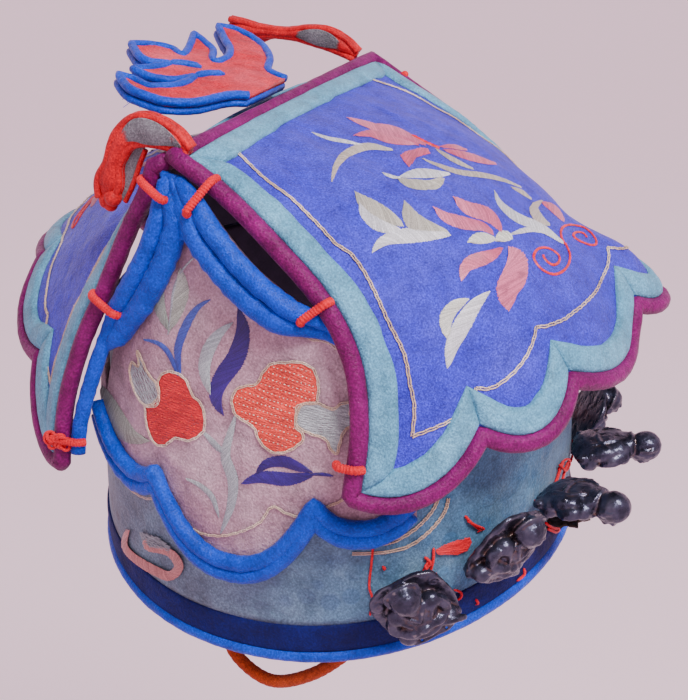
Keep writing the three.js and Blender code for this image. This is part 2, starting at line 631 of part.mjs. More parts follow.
// Cast figures. Rows: height, half width, depth and set forward, as shares of the three sizes
const FIGURE_ROWS = [
  [0, 0.34, 0.5, 0], [0.05, 0.48, 0.8, 0], [0.18, 0.5, 0.9, 0], [0.3, 0.4, 0.8, 0.02],
  [0.42, 0.34, 0.7, 0.02], [0.54, 0.38, 0.7, 0.02], [0.64, 0.3, 0.6, 0.06], [0.69, 0.18, 0.5, 0.12],
  [0.76, 0.28, 0.72, 0.1], [0.88, 0.28, 0.76, 0.1], [0.96, 0.17, 0.5, 0.2],
];
const FIGURE_SIDES = 10;

// A spot on the band with its own upright, outward and sideways ways
function browSpot(turn, lift) {
  const angle = THREE.MathUtils.degToRad(turn);
  const grow = -BAND_SET_IN - bandLean(lift);
  const place = ovalPoint(angle, grow, lift);
  const step = 0.02;
  const ahead = ovalPoint(angle + step, grow, lift).sub(ovalPoint(angle - step, grow, lift));
  const across = ahead.normalize();
  return { place, across, out: vec(0, 0, 1).cross(across).normalize() };
}
function addFigure(name, turn, lift, tip, gap) {
  const { place, across, out } = browSpot(turn, lift);
  const lean = THREE.MathUtils.degToRad(tip);
  const up = vec(0, 0, Math.cos(lean)).addScaledVector(out, Math.sin(lean));
  const ahead = out.clone().multiplyScalar(Math.cos(lean)).add(vec(0, 0, -Math.sin(lean)));
  const seat = place.clone().addScaledVector(out, gap);
  const ring = ([height, half, depth, forward]) => round(1, FIGURE_SIDES).map(([a, b]) =>
    seat.clone().addScaledVector(up, height * FIGURE_HEIGHT)
      .addScaledVector(across, a * half * FIGURE_WIDTH)
      .addScaledVector(ahead, (forward + depth * (b + 1) / 2) * FIGURE_DEPTH));
  add(name, 'pewter', rings(FIGURE_ROWS.map(ring)));
}
FIGURE_TURNS.forEach((turn, i) => {
  const gap = CLEARANCE + (i === 0 ? BORDER_PROUD : 0);
  addFigure(`right_figure_${i + 1}`, -turn, FIGURE_LIFTS[i], FIGURE_TIPS[i], gap);
  addFigure(`left_figure_${i + 1}`, turn - 180, FIGURE_LIFTS[i], FIGURE_TIPS[i], gap);
});

// Dark jagged tags standing out from the brow, one above and one below the middle figures
const TAG_OUTLINE = [
  [-0.3, 0], [-0.5, 0.4], [-0.42, 0.45], [-0.5, 0.8], [-0.2, 0.72], [0, 1], [0.14, 0.74], [0.5, 0.86],
  [0.36, 0.5], [0.5, 0.42], [0.3, 0],
];
function addTag(name, turn, lift) {
  const { place, across, out } = browSpot(turn, lift);
  const lean = THREE.MathUtils.degToRad(TAG_TIP);
  const up = vec(0, 0, Math.cos(lean)).addScaledVector(out, Math.sin(lean));
  const corners = TAG_OUTLINE.map(([a, b]) => new THREE.Vector2(a * TAG_WIDTH, b * TAG_LENGTH));
  const shape = new THREE.Shape(corners);
  const geometry = new THREE.ExtrudeGeometry(shape, { depth: TAG_THICKNESS, bevelEnabled: false });
  const mesh = add(name, 'tag', geometry);
  mesh.quaternion.setFromRotationMatrix(new THREE.Matrix4().makeBasis(across, up, across.clone().cross(up)));
  mesh.position.copy(place.addScaledVector(out, 2 * CLEARANCE));
}
for (const name of ['upper', 'lower']) addTag(`brow_tag_${name}`, TAG_TURNS[name], TAG_LIFTS[name]);

// Cord loops that hang inside the rim over each ear. Points of the right one, chosen by hand
const CORD_POINTS = [
  [-71.4, 10, 16], [-71.4, 8, 6], [-71.6, 3, -6], [-71.2, -8, -12], [-69, -20, -8], [-65.3, -30, 0],
  [-61.2, -37, 9], [-59.5, -39, 16],
];
const cordSection = new THREE.Shape(round(CORD / 2, CORD_SIDES).map(([a, b]) => new THREE.Vector2(a, b)));
for (const [name, side] of [['right', -1], ['left', 1]]) {
  const curve = new THREE.CatmullRomCurve3(CORD_POINTS.map(([x, y, z]) => vec(-side * x, y, z)));
  add(`${name}_cord_loop`, 'cord', new THREE.ExtrudeGeometry(cordSection, {
    steps: CORD_STEPS, bevelEnabled: false, extrudePath: curve,
  }));
}

export default group;
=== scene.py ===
# A child's silk wind hat: scalloped roof panels over gable sides, flame crest, padded horns,
# wrapped thread ties, stamped silver figures on the brow and a braided cord loop over each ear.
# Sizes are millimetres in the maker's frame, and become metres when a piece is made.
import math
import random
import bmesh
import bpy
from mathutils import Matrix, Vector, noise


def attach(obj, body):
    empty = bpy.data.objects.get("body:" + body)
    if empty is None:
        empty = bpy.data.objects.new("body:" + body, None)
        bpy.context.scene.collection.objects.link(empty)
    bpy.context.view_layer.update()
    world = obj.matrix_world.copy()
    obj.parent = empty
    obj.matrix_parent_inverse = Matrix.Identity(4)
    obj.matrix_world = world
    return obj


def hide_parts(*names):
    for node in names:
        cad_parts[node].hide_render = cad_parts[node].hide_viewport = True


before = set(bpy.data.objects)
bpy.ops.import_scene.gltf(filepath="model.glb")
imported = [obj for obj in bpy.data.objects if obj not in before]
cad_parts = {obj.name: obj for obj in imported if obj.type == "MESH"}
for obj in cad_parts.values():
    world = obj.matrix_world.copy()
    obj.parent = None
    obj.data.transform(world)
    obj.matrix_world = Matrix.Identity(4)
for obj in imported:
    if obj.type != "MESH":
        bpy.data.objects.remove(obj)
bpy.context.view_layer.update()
MM = 0.001

# Camera, as fitted to the photograph
IMAGE_WIDTH = 688
IMAGE_HEIGHT = 700
CAMERA_AZIMUTH = math.radians(-66.394)
CAMERA_ELEVATION = math.radians(23.657)
CAMERA_DISTANCE = 450.1
CAMERA_TARGET = Vector((0, -1.0, 67.2))
LENS = 71.35
SENSOR = 36.0
FOCAL_PIXELS = LENS / SENSOR * IMAGE_HEIGHT

view_back = Vector((
    math.sin(CAMERA_AZIMUTH) * math.cos(CAMERA_ELEVATION),
    -math.cos(CAMERA_AZIMUTH) * math.cos(CAMERA_ELEVATION),
    math.sin(CAMERA_ELEVATION),
))
view_right = Vector((math.cos(CAMERA_AZIMUTH), math.sin(CAMERA_AZIMUTH), 0))
view_up = view_back.cross(view_right)
camera_place = CAMERA_TARGET + CAMERA_DISTANCE * view_back

camera_data = bpy.data.cameras.new("photo_camera")
camera_data.lens = LENS
camera_data.sensor_width = SENSOR
camera_data.clip_end = 20
camera = bpy.data.objects.new("photo_camera", camera_data)
camera.matrix_world = Matrix((
    (view_right.x, view_up.x, view_back.x, camera_place.x * MM),
    (view_right.y, view_up.y, view_back.y, camera_place.y * MM),
    (view_right.z, view_up.z, view_back.z, camera_place.z * MM),
    (0, 0, 0, 1),
))
bpy.context.collection.objects.link(camera)
bpy.context.scene.camera = camera


def to_pixel(point):
    """Where a point of the hat is seen in the photograph."""
    ray = point - camera_place
    depth = -ray.dot(view_back)
    return (IMAGE_WIDTH / 2 + FOCAL_PIXELS * ray.dot(view_right) / depth,
            IMAGE_HEIGHT / 2 - FOCAL_PIXELS * ray.dot(view_up) / depth)


# Small helpers


def mix(a, b, t):
    return a + (b - a) * t


def clamp(t):
    """The value kept between 0 and 1."""
    return min(1.0, max(0.0, t))


def smooth(t):
    """A soft step from 0 to 1."""
    t = clamp(t)
    return t * t * (3 - 2 * t)


def steps(count):
    """Even shares from 0 to 1."""
    return [i / count for i in range(count + 1)]


def read_smooth(table, key, column):
    """Catmull-Rom curve through a table's rows; the first column is the key."""
    row = 0
    while row < len(table) - 2 and key > table[row + 1][0]:
        row += 1
    p0, p1 = table[max(0, row - 1)], table[row]
    p2, p3 = table[row + 1], table[min(len(table) - 1, row + 2)]
    span = p2[0] - p1[0]
    t = (key - p1[0]) / span
    first = p1 if row == 0 else p0
    last = p2 if row == len(table) - 2 else p3
    slope1 = (p2[column] - first[column]) / (p2[0] - first[0])
    slope2 = (last[column] - p1[column]) / (last[0] - p1[0])
    return (p1[column] * (1 + 2 * t) * (1 - t) ** 2 + p2[column] * t * t * (3 - 2 * t)
            + span * (slope1 * t * (1 - t) ** 2 - slope2 * t * t * (1 - t)))


CURVE_STEPS = 12


def curve_through(points, count):
    """Evenly spaced places along a smooth curve through the given ones."""
    points = [Vector(p) for p in points]
    dense = []
    for i in range(len(points) - 1):
        before = points[max(0, i - 1)]
        after = points[min(len(points) - 1, i + 2)]
        a, b = points[i], points[i + 1]
        for k in range(CURVE_STEPS):
            t = k / CURVE_STEPS
            tangent_a, tangent_b = (b - before) / 2, (after - a) / 2
            dense.append(a * (2 * t ** 3 - 3 * t ** 2 + 1) + b * (3 * t ** 2 - 2 * t ** 3)
                         + tangent_a * (t ** 3 - 2 * t ** 2 + t) + tangent_b * (t ** 3 - t ** 2))
    dense.append(points[-1])
    lengths = [0.0]
    for a, b in zip(dense, dense[1:]):
        lengths.append(lengths[-1] + (b - a).length)
    places = []
    k = 0
    for i in range(count + 1):
        target = lengths[-1] * i / count
        while k < len(dense) - 2 and lengths[k + 1] < target:
            k += 1
        span = max(1e-9, lengths[k + 1] - lengths[k])
        places.append(dense[k].lerp(dense[k + 1], clamp((target - lengths[k]) / span)))
    return places


def path_length(path):
    return sum((b - a).length for a, b in zip(path, path[1:]))


def ripple(place, scale, seed=0.0):
    """Smooth noise from -1 to 1 at a place, with waves about scale long."""
    x, y, z = place
    return noise.noise(Vector((x / scale + seed, y / scale - seed, z / scale + 2 * seed)))


# Sizes of the hat, as in the part's source
RIM_WIDTH, RIM_DEPTH = 157, 153
OVAL_POWER = 2.15
RIM_RISE = 12
RIM_PIPE = 4
BORDER_HEIGHT = 8.5
BORDER_WALL = 3
BORDER_PROUD = 0.4
BAND_TOP = 90
BAND_WALL = 2.4
BAND_LEAN = 5
BAND_SET_IN = 1.2
CLEARANCE = 0.3
RIDGE_LENGTH = 136
RIDGE_HEIGHT = 147
RIDGE_BACK = 21
ROOF_WALL = 1.6
BINDING = 5
TRIM_WIDTH = 7
LOBE_DEPTH = 9
CUSP_SHARES = [-1, -0.73, -0.347, 0.347, 0.73, 1]
FRONT_CUSPS = [-1, -0.705, -0.37, 0.27, 0.64, 1]
FAR_LIFT = 5
FLARE_MIDDLE, FLARE_REACH, FLARE_START = 0.52, 0.42, 0.7
GABLE_WALL = 1.6
GABLE_FRONT, GABLE_BACK = 50, 52
GABLE_HEM_HEIGHT, GABLE_HEM_BACK_RISE = 50, 10
GABLE_LEAN, GABLE_LEAN_START = 13.5, 58
GABLE_UNDER_ROOF = 6.5
GABLE_CUSP_FRONT, GABLE_CUSP_BACK = 26, 24
GABLE_LOBE, GABLE_SIDE_LOBE = 22, 7
HEM_ROUNDNESS = 2.4
GABLE_PIPE, HEM_PIPE = 5.6, 4.6
EDGING_GAP = 3.2
PEAK_DROP, PEAK_FORWARD = 6.2, 1.5
TIE_SHARES = [0.12, 0.56, 0.94]
SIDES = {"right": -1, "left": 1}


def oval_point(angle, grow, z):
    """The hat's oval, counted from the right ear; the brow is at minus a quarter turn."""
    c, s = -math.cos(angle), math.sin(angle)
    return Vector((
        (RIM_WIDTH / 2 + grow) * math.copysign(abs(c) ** (2 / OVAL_POWER), c),
        (RIM_DEPTH / 2 + grow) * math.copysign(abs(s) ** (2 / OVAL_POWER), s),
        z,
    ))


def rim_height(y):
    """The rim's height; it rises at the brow and the nape."""
    return RIM_RISE * (y / (RIM_DEPTH / 2)) ** 2


def oval_x(y, grow):
    """Half the oval's width at a depth y."""
    share = clamp(abs(y) / (RIM_DEPTH / 2 + grow))
    return (RIM_WIDTH / 2 + grow) * (1 - share ** OVAL_POWER) ** (1 / OVAL_POWER)


def band_lean(z):
    """How far the band leans in at a height."""
    return BAND_LEAN * clamp(z / BAND_TOP) ** 3


# Rounds, longest move and last move, in steps, of the search for what a pixel shows
SEARCH_ROUNDS, SEARCH_REACH, SEARCH_END = 14, 60, 0.01


class Surface:
    """A cloth face that can be read at any pair of its own coordinates."""

    step = (0.004, 0.004)
    side = 1

    def place(self, a, b):
        raise NotImplementedError

    def normal(self, a, b):
        da, db = self.step
        along = self.place(a + da, b) - self.place(a - da, b)
        down = self.place(a, b + db) - self.place(a, b - db)
        return (along.cross(down) * self.side).normalized()

    def over(self, a, b, height):
        return self.place(a, b) + self.normal(a, b) * height

    def under_pixel(self, pixel, start):
        """Coordinates of the spot that the photograph shows at a pixel."""
        a, b = start
        da, db = self.step
        for _ in range(SEARCH_ROUNDS):
            x, y = to_pixel(self.place(a, b))
            xa, ya = to_pixel(self.place(a + da, b))
            xb, yb = to_pixel(self.place(a, b + db))
            m = Matrix((((xa - x) / da, (xb - x) / db), ((ya - y) / da, (yb - y) / db)))
            if abs(m.determinant()) < 1e-6:
                break
            move = m.inverted() @ Vector((pixel[0] - x, pixel[1] - y))
            a += max(-SEARCH_REACH * da, min(SEARCH_REACH * da, move[0]))
            b += max(-SEARCH_REACH * db, min(SEARCH_REACH * db, move[1]))
            a, b = self.keep(a, b)
            if abs(move[0]) < SEARCH_END * da and abs(move[1]) < SEARCH_END * db:
                break
        return Vector((a, b))

    def keep(self, a, b):
        return a, b


# Columns: share of the way down, then run and drop of the middle line, run and drop of the side
# edge, and how far the side edge has widened
FRONT_PROFILE = [
    (0, 0, 0, 0, 0, 0),
    (0.15, 0.18, 0.06, 0.24, 0.1, 0),
    (0.35, 0.42, 0.2, 0.52, 0.235, 0.2),
    (0.55, 0.65, 0.4, 0.78, 0.4, 0.3),
    (0.72, 0.81, 0.59, 0.94, 0.585, 0.42),
    (0.87, 0.92, 0.78, 1, 0.8, 0.65),
    (1, 1, 1, 1, 1, 1),
]
BACK_PROFILE = [
    (0, 0, 0, 0, 0, 0),
    (0.15, 0.185, 0.08, 0.12, 0.11, 0),
    (0.35, 0.395, 0.25, 0.35, 0.25, 0.04),
    (0.55, 0.58, 0.45, 0.61, 0.45, 0.23),
    (0.72, 0.74, 0.65, 0.83, 0.62, 0.46),
    (0.87, 0.87, 0.82, 0.985, 0.82, 0.73),
    (1, 1, 1, 1, 1, 1),
]
# The far scallops of the front eave rise: where down the panel and where across it
FAR_LIFT_START, FAR_LIFT_FADE, FAR_LIFT_MIDDLE, FAR_LIFT_REACH = 0.72, 0.28, 0.5, 0.36
# A slope's length as a share of its chord, and where the eave's own slope is read
SLOPE_LENGTH = 1.08
EAVE_INSIDE = 0.94
# Waves in the silk: height, length, stretch across and down, and shift
ROOF_WAVES = [(0.75, 17, 90, 70, 0), (0.4, 7, 90, 95, 5)]
# Shares over which the waves die out towards the side, the ridge and the eave
STILL_SIDE, STILL_RIDGE, STILL_EAVE = 0.16, 0.12, 0.14
# The back panel's hollow: depth, shares over which it sinks, and where it ends
BACK_HOLLOW, HOLLOW_SIDE, HOLLOW_RIDGE, HOLLOW_END, HOLLOW_FADE = 7, 0.2, 0.1, 0.6, 0.35
# The normal is read no nearer to the side than this
SIDE_LIMIT = 0.99
LOCATE_STEP, LOCATE_ROUNDS = 0.005, 3
# Furthest share down the panel that a search may reach, a little beyond the scallops
EAVE_LIMIT = 1.12
MITRE_REACH = 2.2


class Roof(Surface):
    """One roof panel: a runs -1 to 1 along the ridge, b from 0 at the ridge to 1 at the eave."""

    def __init__(self, way, profile, eave, corner, sag, flare, cusps, far_lift):
        self.cusps = cusps
        self.far_lift = far_lift
        self.way = way
        self.side = way
        self.profile = profile
        self.eave_y, self.eave_z = eave
        self.corner_x, self.corner_y, self.corner_z = corner
        self.sag = sag
        self.flare = flare
        self.start = RIDGE_BACK + way * (BINDING / 2 + CLEARANCE / 2)
        self.length = math.hypot(self.eave_y - self.start, RIDGE_HEIGHT - self.eave_z) * SLOPE_LENGTH

    def plain(self, u, v):
        read = [read_smooth(self.profile, v, column) for column in range(1, 6)]
        blend = abs(u) ** self.sag
        outward = smooth((v - FLARE_START) / (1 - FLARE_START))
        flare = self.flare * outward * smooth(1 - abs(u - FLARE_MIDDLE) / FLARE_REACH)
        y = mix(mix(self.start, self.eave_y, read[0]), mix(self.start, self.corner_y, read[2]), blend)
        z = mix(mix(RIDGE_HEIGHT, self.eave_z, read[1]), mix(RIDGE_HEIGHT, self.corner_z, read[3]), blend)
        half_width = mix(RIDGE_LENGTH / 2, self.corner_x, read[4])
        lift = (self.far_lift * smooth((v - FAR_LIFT_START) / FAR_LIFT_FADE)
                * smooth(1 - abs(u - FAR_LIFT_MIDDLE) / FAR_LIFT_REACH))
        return Vector((u * half_width, y + self.way * flare, z + flare / 2 + lift))

    def base(self, u, v):
        if v <= 1:
            return self.plain(u, max(0.0, v))
        edge = self.plain(u, 1)
        way = (edge - self.plain(u, EAVE_INSIDE)).normalized()
        return edge + way * (v - 1) * self.length

    def place(self, u, v):
        spot = self.base(u, v)
        side = 1 - abs(u)
        inside = smooth(side / STILL_SIDE) * smooth(v / STILL_RIDGE) * smooth((1 - v) / STILL_EAVE)
        if inside > 0:
            wave = sum(height * ripple((across * u, down * v, shift), length, self.way)
                       for height, length, across, down, shift in ROOF_WAVES)
            spot.z += inside * wave
            spot.y += inside * wave * 0.6 * self.way
        if self.way > 0:
            spot.z -= (BACK_HOLLOW * smooth(side / HOLLOW_SIDE) * smooth(v / HOLLOW_RIDGE)
                       * smooth((HOLLOW_END - v) / HOLLOW_FADE))
        return spot

    def keep(self, u, v):
        return max(-1.0, min(1.0, u)), max(0.0, min(EAVE_LIMIT, v))

    def own(self, u):
        """Where this panel has the spot that an even panel has at u."""
        span = 1
        while span < len(CUSP_SHARES) - 1 and u > CUSP_SHARES[span]:
            span += 1
        low, high = CUSP_SHARES[span - 1], CUSP_SHARES[span]
        return mix(self.cusps[span - 1], self.cusps[span], (u - low) / (high - low))

    def lobe(self, u):
        span = 1
        while span < len(self.cusps) - 1 and u > self.cusps[span] + 1e-9:
            span += 1
        low, high = self.cusps[span - 1], self.cusps[span]
        t = (2 * u - low - high) / (high - low)
        return LOBE_DEPTH / self.length * max(0.0, 1 - t * t)

    def locate(self, point, u, v):
        """Coordinates of the surface's nearest spot to a point, from a start near it."""
        step = LOCATE_STEP
        for _ in range(LOCATE_ROUNDS):
            along = (self.base(u + step, v) - self.base(u - step, v)) / (2 * step)
            low = max(0.0, v - step)
            down = (self.base(u, v + step) - self.base(u, low)) / (v + step - low)
            away = point - self.base(u, v)
            aa, ab, bb = along.dot(along), along.dot(down), down.dot(down)
            ap, bp = away.dot(along), away.dot(down)
            scale = aa * bb - ab * ab
            u += (ap * bb - bp * ab) / scale
            v += (bp * aa - ap * ab) / scale
        return u, v

    def inward(self, a, b, u, v):
        """Way into the panel, square to the outline's run from a to b."""
        out = self.normal(max(-SIDE_LIMIT, min(SIDE_LIMIT, u)), min(v, 1.0))
        return (b - a).cross(out).normalized() * self.way

    def set_in(self, runs, width):
        """The outline's runs moved into the panel by a width, with mitred ends, as pairs u, v."""
        lines = [[self.base(u, v) for u, v in run] for run in runs]
        corners = []
        for k, run in enumerate(runs):
            last, line, spot = lines[k - 1], lines[k], run[0]
            one = self.inward(last[-2], last[-1], *spot)
            two = self.inward(line[0], line[1], *spot)
            corners.append(line[0] + (one + two) * (width / (1 + one.dot(two))))
        moved = []
        for k, (run, line) in enumerate(zip(runs, lines)):
            shifted, lengths = [], [0.0]
            for i, spot in enumerate(line):
                a, b = line[max(0, i - 1)], line[min(len(line) - 1, i + 1)]
                shifted.append(spot + self.inward(a, b, *run[i]) * width)
                if i:
                    lengths.append(lengths[-1] + (spot - line[i - 1]).length)
            total = lengths[-1]
            head, tail = corners[k], corners[(k + 1) % len(corners)]
            near = max(0.0, (head - line[0]).dot((line[1] - line[0]).normalized()))
            far = max(0.0, (tail - line[-1]).dot((line[-2] - line[-1]).normalized()))

            def at(run_length):
                i = 1
                while i < len(lengths) - 1 and lengths[i] < run_length:
                    i += 1
                share = clamp((run_length - lengths[i - 1]) / (lengths[i] - lengths[i - 1]))
                return shifted[i - 1].lerp(shifted[i], share)

            gap_head, gap_tail = head - at(near), tail - at(total - far)
            pairs = []
            for (u, v), length in zip(run, lengths):
                spot = at(near + (total - near - far) * length / total)
                spot += gap_head * math.exp(-length / MITRE_REACH)
                spot += gap_tail * math.exp((length - total) / MITRE_REACH)
                pairs.append(self.locate(spot, u, v))
            moved.append(pairs)
        return moved


# Way, profile, depth and height of the eave, corner, sag, flare, cusps and far lift
roofs = {
    "front": Roof(-1, FRONT_PROFILE, (-88, 87), (83.5, -39.5, 65), 2.4, 9, FRONT_CUSPS, FAR_LIFT),
    "back": Roof(1, BACK_PROFILE, (98, 100), (81, 54, 54), 2, 0, CUSP_SHARES, 0),
}

SIDE_STEPS, RIDGE_STEPS, LOBE_STEPS = 46, 24, 16
LOBE_SPANS = len(CUSP_SHARES) - 1
eave_stops = [mix(CUSP_SHARES[k], CUSP_SHARES[k + 1], 0.5 - 0.5 * math.cos(math.pi * i / LOBE_STEPS))
              for k in range(LOBE_SPANS) for i in range(LOBE_STEPS)] + [1]


def roof_runs(roof):
    """The outline's runs between corners: five scallops, left side up, ridge, right side down."""
    scallops = [eave_stops[k * LOBE_STEPS:(k + 1) * LOBE_STEPS + 1] for k in range(LOBE_SPANS)]
    runs = [[(u, 1 + roof.lobe(u)) for u in map(roof.own, stops)] for stops in scallops]
    runs.append([(1, v) for v in reversed(steps(SIDE_STEPS))])
    runs.append([(1 - 2 * t, 0) for t in steps(RIDGE_STEPS)])
    runs.append([(-1, v) for v in steps(SIDE_STEPS)])
    return runs


def one_round(runs):
    """The runs as one closed list, each corner once."""
    return [pair for run in runs for pair in run[:-1]]


# Waves in the gable's silk: height, length and seed
GABLE_WAVES = [(0.75, 13, 3.3), (0.4, 5.5, 1.7)]
# Where they start and end, as the limit and the way over which they grow
WAVES_FOOT, WAVES_TOP, WAVES_SIDE = (34, 14), (128, 20), (48, 14)
WAVES_MIDDLE = 2
# No spot of a gable is further forward or back than this
GABLE_REACH = 70.0


class Gable(Surface):
    """One gable panel: a is the depth y, b the height z. It stands on the band's oval and leans in."""

    step = (0.4, 0.4)
    grow = -BAND_SET_IN + 2 * CLEARANCE + GABLE_WALL / 2

    def __init__(self, side):
        self.hand = side
        self.side = side

    def x(self, y, z):
        lean = GABLE_LEAN * clamp((z - GABLE_LEAN_START) / (RIDGE_HEIGHT - GABLE_LEAN_START)) ** 1.5
        return oval_x(y, self.grow) - lean

    def place(self, y, z):
        inside = smooth((z - WAVES_FOOT[0]) / WAVES_FOOT[1]) * smooth((WAVES_TOP[0] - z) / WAVES_TOP[1])
        inside *= smooth((WAVES_SIDE[0] - abs(y - WAVES_MIDDLE)) / WAVES_SIDE[1])
        wave = sum(height * ripple((y, z, 0), length, seed) for height, length, seed in GABLE_WAVES)
        return Vector((self.hand * (self.x(y, z) + inside * wave), y, z))

    def keep(self, y, z):
        return max(-GABLE_REACH, min(GABLE_REACH, y)), z


gables = {name: Gable(side) for name, side in SIDES.items()}
HEM_CUSPS = [-GABLE_FRONT, -GABLE_CUSP_FRONT, GABLE_CUSP_BACK, GABLE_BACK]
HEM_DEPTHS = [GABLE_SIDE_LOBE, GABLE_LOBE, GABLE_SIDE_LOBE]
HEM_HEIGHTS = [GABLE_HEM_HEIGHT] * 3 + [GABLE_HEM_HEIGHT + GABLE_HEM_BACK_RISE]


def hem_height(y):
    """Height of the gable's scalloped hem."""
    span = 1
    while span < len(HEM_CUSPS) - 1 and y > HEM_CUSPS[span] + 1e-9:
        span += 1
    low, high = HEM_CUSPS[span - 1], HEM_CUSPS[span]
    t = (2 * y - low - high) / (high - low)
    straight = mix(HEM_HEIGHTS[span - 1], HEM_HEIGHTS[span], (t + 1) / 2)
    return straight - HEM_DEPTHS[span - 1] * max(0.0, 1 - abs(t) ** HEM_ROUNDNESS)


EDGE_END, EDGE_STEP = 0.74, 0.005


def roof_edge_height(y):
    """Height of the roof's side edge over a depth y."""
    roof = roofs["front"] if y < RIDGE_BACK else roofs["back"]
    v = 0.0
    while v < EDGE_END and roof.way * (roof.plain(1, v).y - y) < 0:
        v += EDGE_STEP
    return roof.plain(1, v).z


BAND_WAVE, BAND_WAVE_LENGTH, BAND_WAVE_TURN, BAND_WAVE_SEED = 0.3, 9, 30, 0.7


def band_wave(angle, z):
    """How far the band's silk stands out or in at a spot."""
    spot = (BAND_WAVE_TURN * math.cos(angle), BAND_WAVE_TURN * math.sin(angle), z / 2)
    return BAND_WAVE * ripple(spot, BAND_WAVE_LENGTH, BAND_WAVE_SEED)


class Band(Surface):
    """The crown band's face: a is the angle round the oval, b the height."""

    step = (0.01, 0.4)
    side = -1

    def place(self, angle, z):
        return oval_point(angle, -BAND_SET_IN - band_lean(z) + band_wave(angle, z), z)


band = Band()

# Mesh making


def make_piece(name, points, faces, material, replaced=(), uvs=None, colours=None, second=None,
               closed=True):
    """A piece of the hat from points in millimetres. uvs and colours are one per point; second is
    a material and the set of faces that take it. A closed skin is turned to face out."""
    mesh = bpy.data.meshes.new(name)
    mesh.from_pydata([tuple(p * MM for p in point) for point in points], [], faces)
    mesh.materials.append(material)
    if uvs:
        layer = mesh.uv_layers.new(name="cloth")
        for loop in mesh.loops:
            layer.data[loop.index].uv = uvs[loop.vertex_index]
    if colours:
        layer = mesh.color_attributes.new(name="dye", type="FLOAT_COLOR", domain="POINT")
        for i, colour in enumerate(colours):
            layer.data[i].color = (*colour, 1)
    if second:
        mesh.materials.append(second[0])
        for polygon in mesh.polygons:
            if polygon.index in second[1]:
                polygon.material_index = 1
    mesh.polygons.foreach_set("use_smooth", [True] * len(mesh.polygons))
    mesh.validate()
    if closed:
        net = bmesh.new()
        net.from_mesh(mesh)
        bmesh.ops.recalc_face_normals(net, faces=net.faces)
        net.to_mesh(mesh)
        net.free()
    piece = bpy.data.objects.new(name, mesh)
    bpy.context.collection.objects.link(piece)
    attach(piece, "root")
    if replaced:
        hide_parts(*replaced)
    return piece


def grid_faces(columns, rows, start=0, around=False, flip=False):
    """Faces of a grid whose points run row by row in each column."""
    faces = []
    count = columns if around else columns - 1
    for i in range(count):
        a, b = start + i * rows, start + ((i + 1) % columns) * rows
        for j in range(rows - 1):
            face = (a + j, b + j, b + j + 1, a + j + 1)
            faces.append(face[::-1] if flip else face)
    return faces


def cloth_wall(columns, rows, place, around=False):
    """A sheet with two faces and closed edges. place gives a point from a column, a row and a
    face (0 outside, 1 inside). Returns points, faces and the indices of the inner faces."""
    points = []
    for face in (0, 1):
        for i in range(columns):
            points.extend(place(i, j, face) for j in range(rows))
    inner = columns * rows
    faces = grid_faces(columns, rows, 0, around)
    inside = grid_faces(columns, rows, inner, around, flip=True)
    hidden = set(range(len(faces), len(faces) + len(inside)))
    faces += inside
    for i in range(columns if around else columns - 1):
        a, b = i * rows, ((i + 1) % columns) * rows
        faces.append((a, inner + a, inner + b, b))
        a, b = a + rows - 1, b + rows - 1
        faces.append((b, inner + b, inner + a, a))
    if not around:
        for j in range(rows - 1):
            faces.append((j, j + 1, inner + j + 1, inner + j))
            k = (columns - 1) * rows + j
            faces.append((k + 1, k, inner + k, inner + k + 1))
    return points, faces, hidden


# Length along and turn round of one dent in a crumpled tube, and how far a dent slants
CRUMPLE_RUN, CRUMPLE_TURN, CRUMPLE_SLANT = 2.2, 1.6, 0.8


def tube(path, outs, radius, sides=12, closed=False, crumple=0.0, seed=0.0):
    """A round tube: radius is a number or a function of the share along it. Returns points,
    faces and uvs (length along, share round)."""
    points, faces, uvs = [], [], []
    count = len(path)
    run = 0.0
    for i, spot in enumerate(path):
        before = path[(i - 1) % count] if closed or i > 0 else path[i]
        after = path[(i + 1) % count] if closed or i < count - 1 else path[i]
        along = (after - before).normalized()
        across = along.cross(outs[i]).normalized()
        out = across.cross(along).normalized()
        share = i / max(1, count - 1)
        size = radius(share) if callable(radius) else radius
        run += (path[i] - path[i - 1]).length if i else 0
        for k in range(sides):
            angle = 2 * math.pi * k / sides
            r = size
            if crumple:
                along_noise = run / CRUMPLE_RUN + CRUMPLE_SLANT * math.sin(angle)
                r *= 1 + crumple * noise.noise(Vector((along_noise, angle / CRUMPLE_TURN + seed, seed)))
            points.append(spot + across * (r * math.cos(angle)) + out * (r * math.sin(angle)))
            uvs.append((run, k / sides))
    spans = count if closed else count - 1
    for i in range(spans):
        a, b = i * sides, ((i + 1) % count) * sides
        for k in range(sides):
            m = (k + 1) % sides
            faces.append((a + k, a + m, b + m, b + k))
    if not closed:
        faces.append(tuple(reversed(range(sides))))
        faces.append(tuple((count - 1) * sides + k for k in range(sides)))
    return points, faces, uvs


def gather(shapes):
    """Joins several (points, faces, extras) into one set of points, faces and extras."""
    points, faces, extras = [], [], []
    for shape in shapes:
        base = len(points)
        points += shape[0]
        faces += [tuple(base + k for k in face) for face in shape[1]]
        extras += shape[2]
    return points, faces, extras


# Materials


def node(tree, kind, **values):
    """A new node with its properties and inputs set by name."""
    made = tree.nodes.new(kind)
    for key, value in values.items():
        if key in made.bl_rna.properties:
            setattr(made, key, value)
        else:
            made.inputs[key.replace("_", " ")].default_value = value
    return made


def ramp(tree, source, stops):
    made = tree.nodes.new("ShaderNodeValToRGB")
    elements = made.color_ramp.elements
    while len(elements) < len(stops):
        elements.new(0.5)
    for element, (place, colour) in zip(elements, stops):
        element.position = place
        element.color = (*colour, 1)
    tree.links.new(source, made.inputs["Fac"])
    return made.outputs["Color"]


def grey(value):
    return (value, value, value)


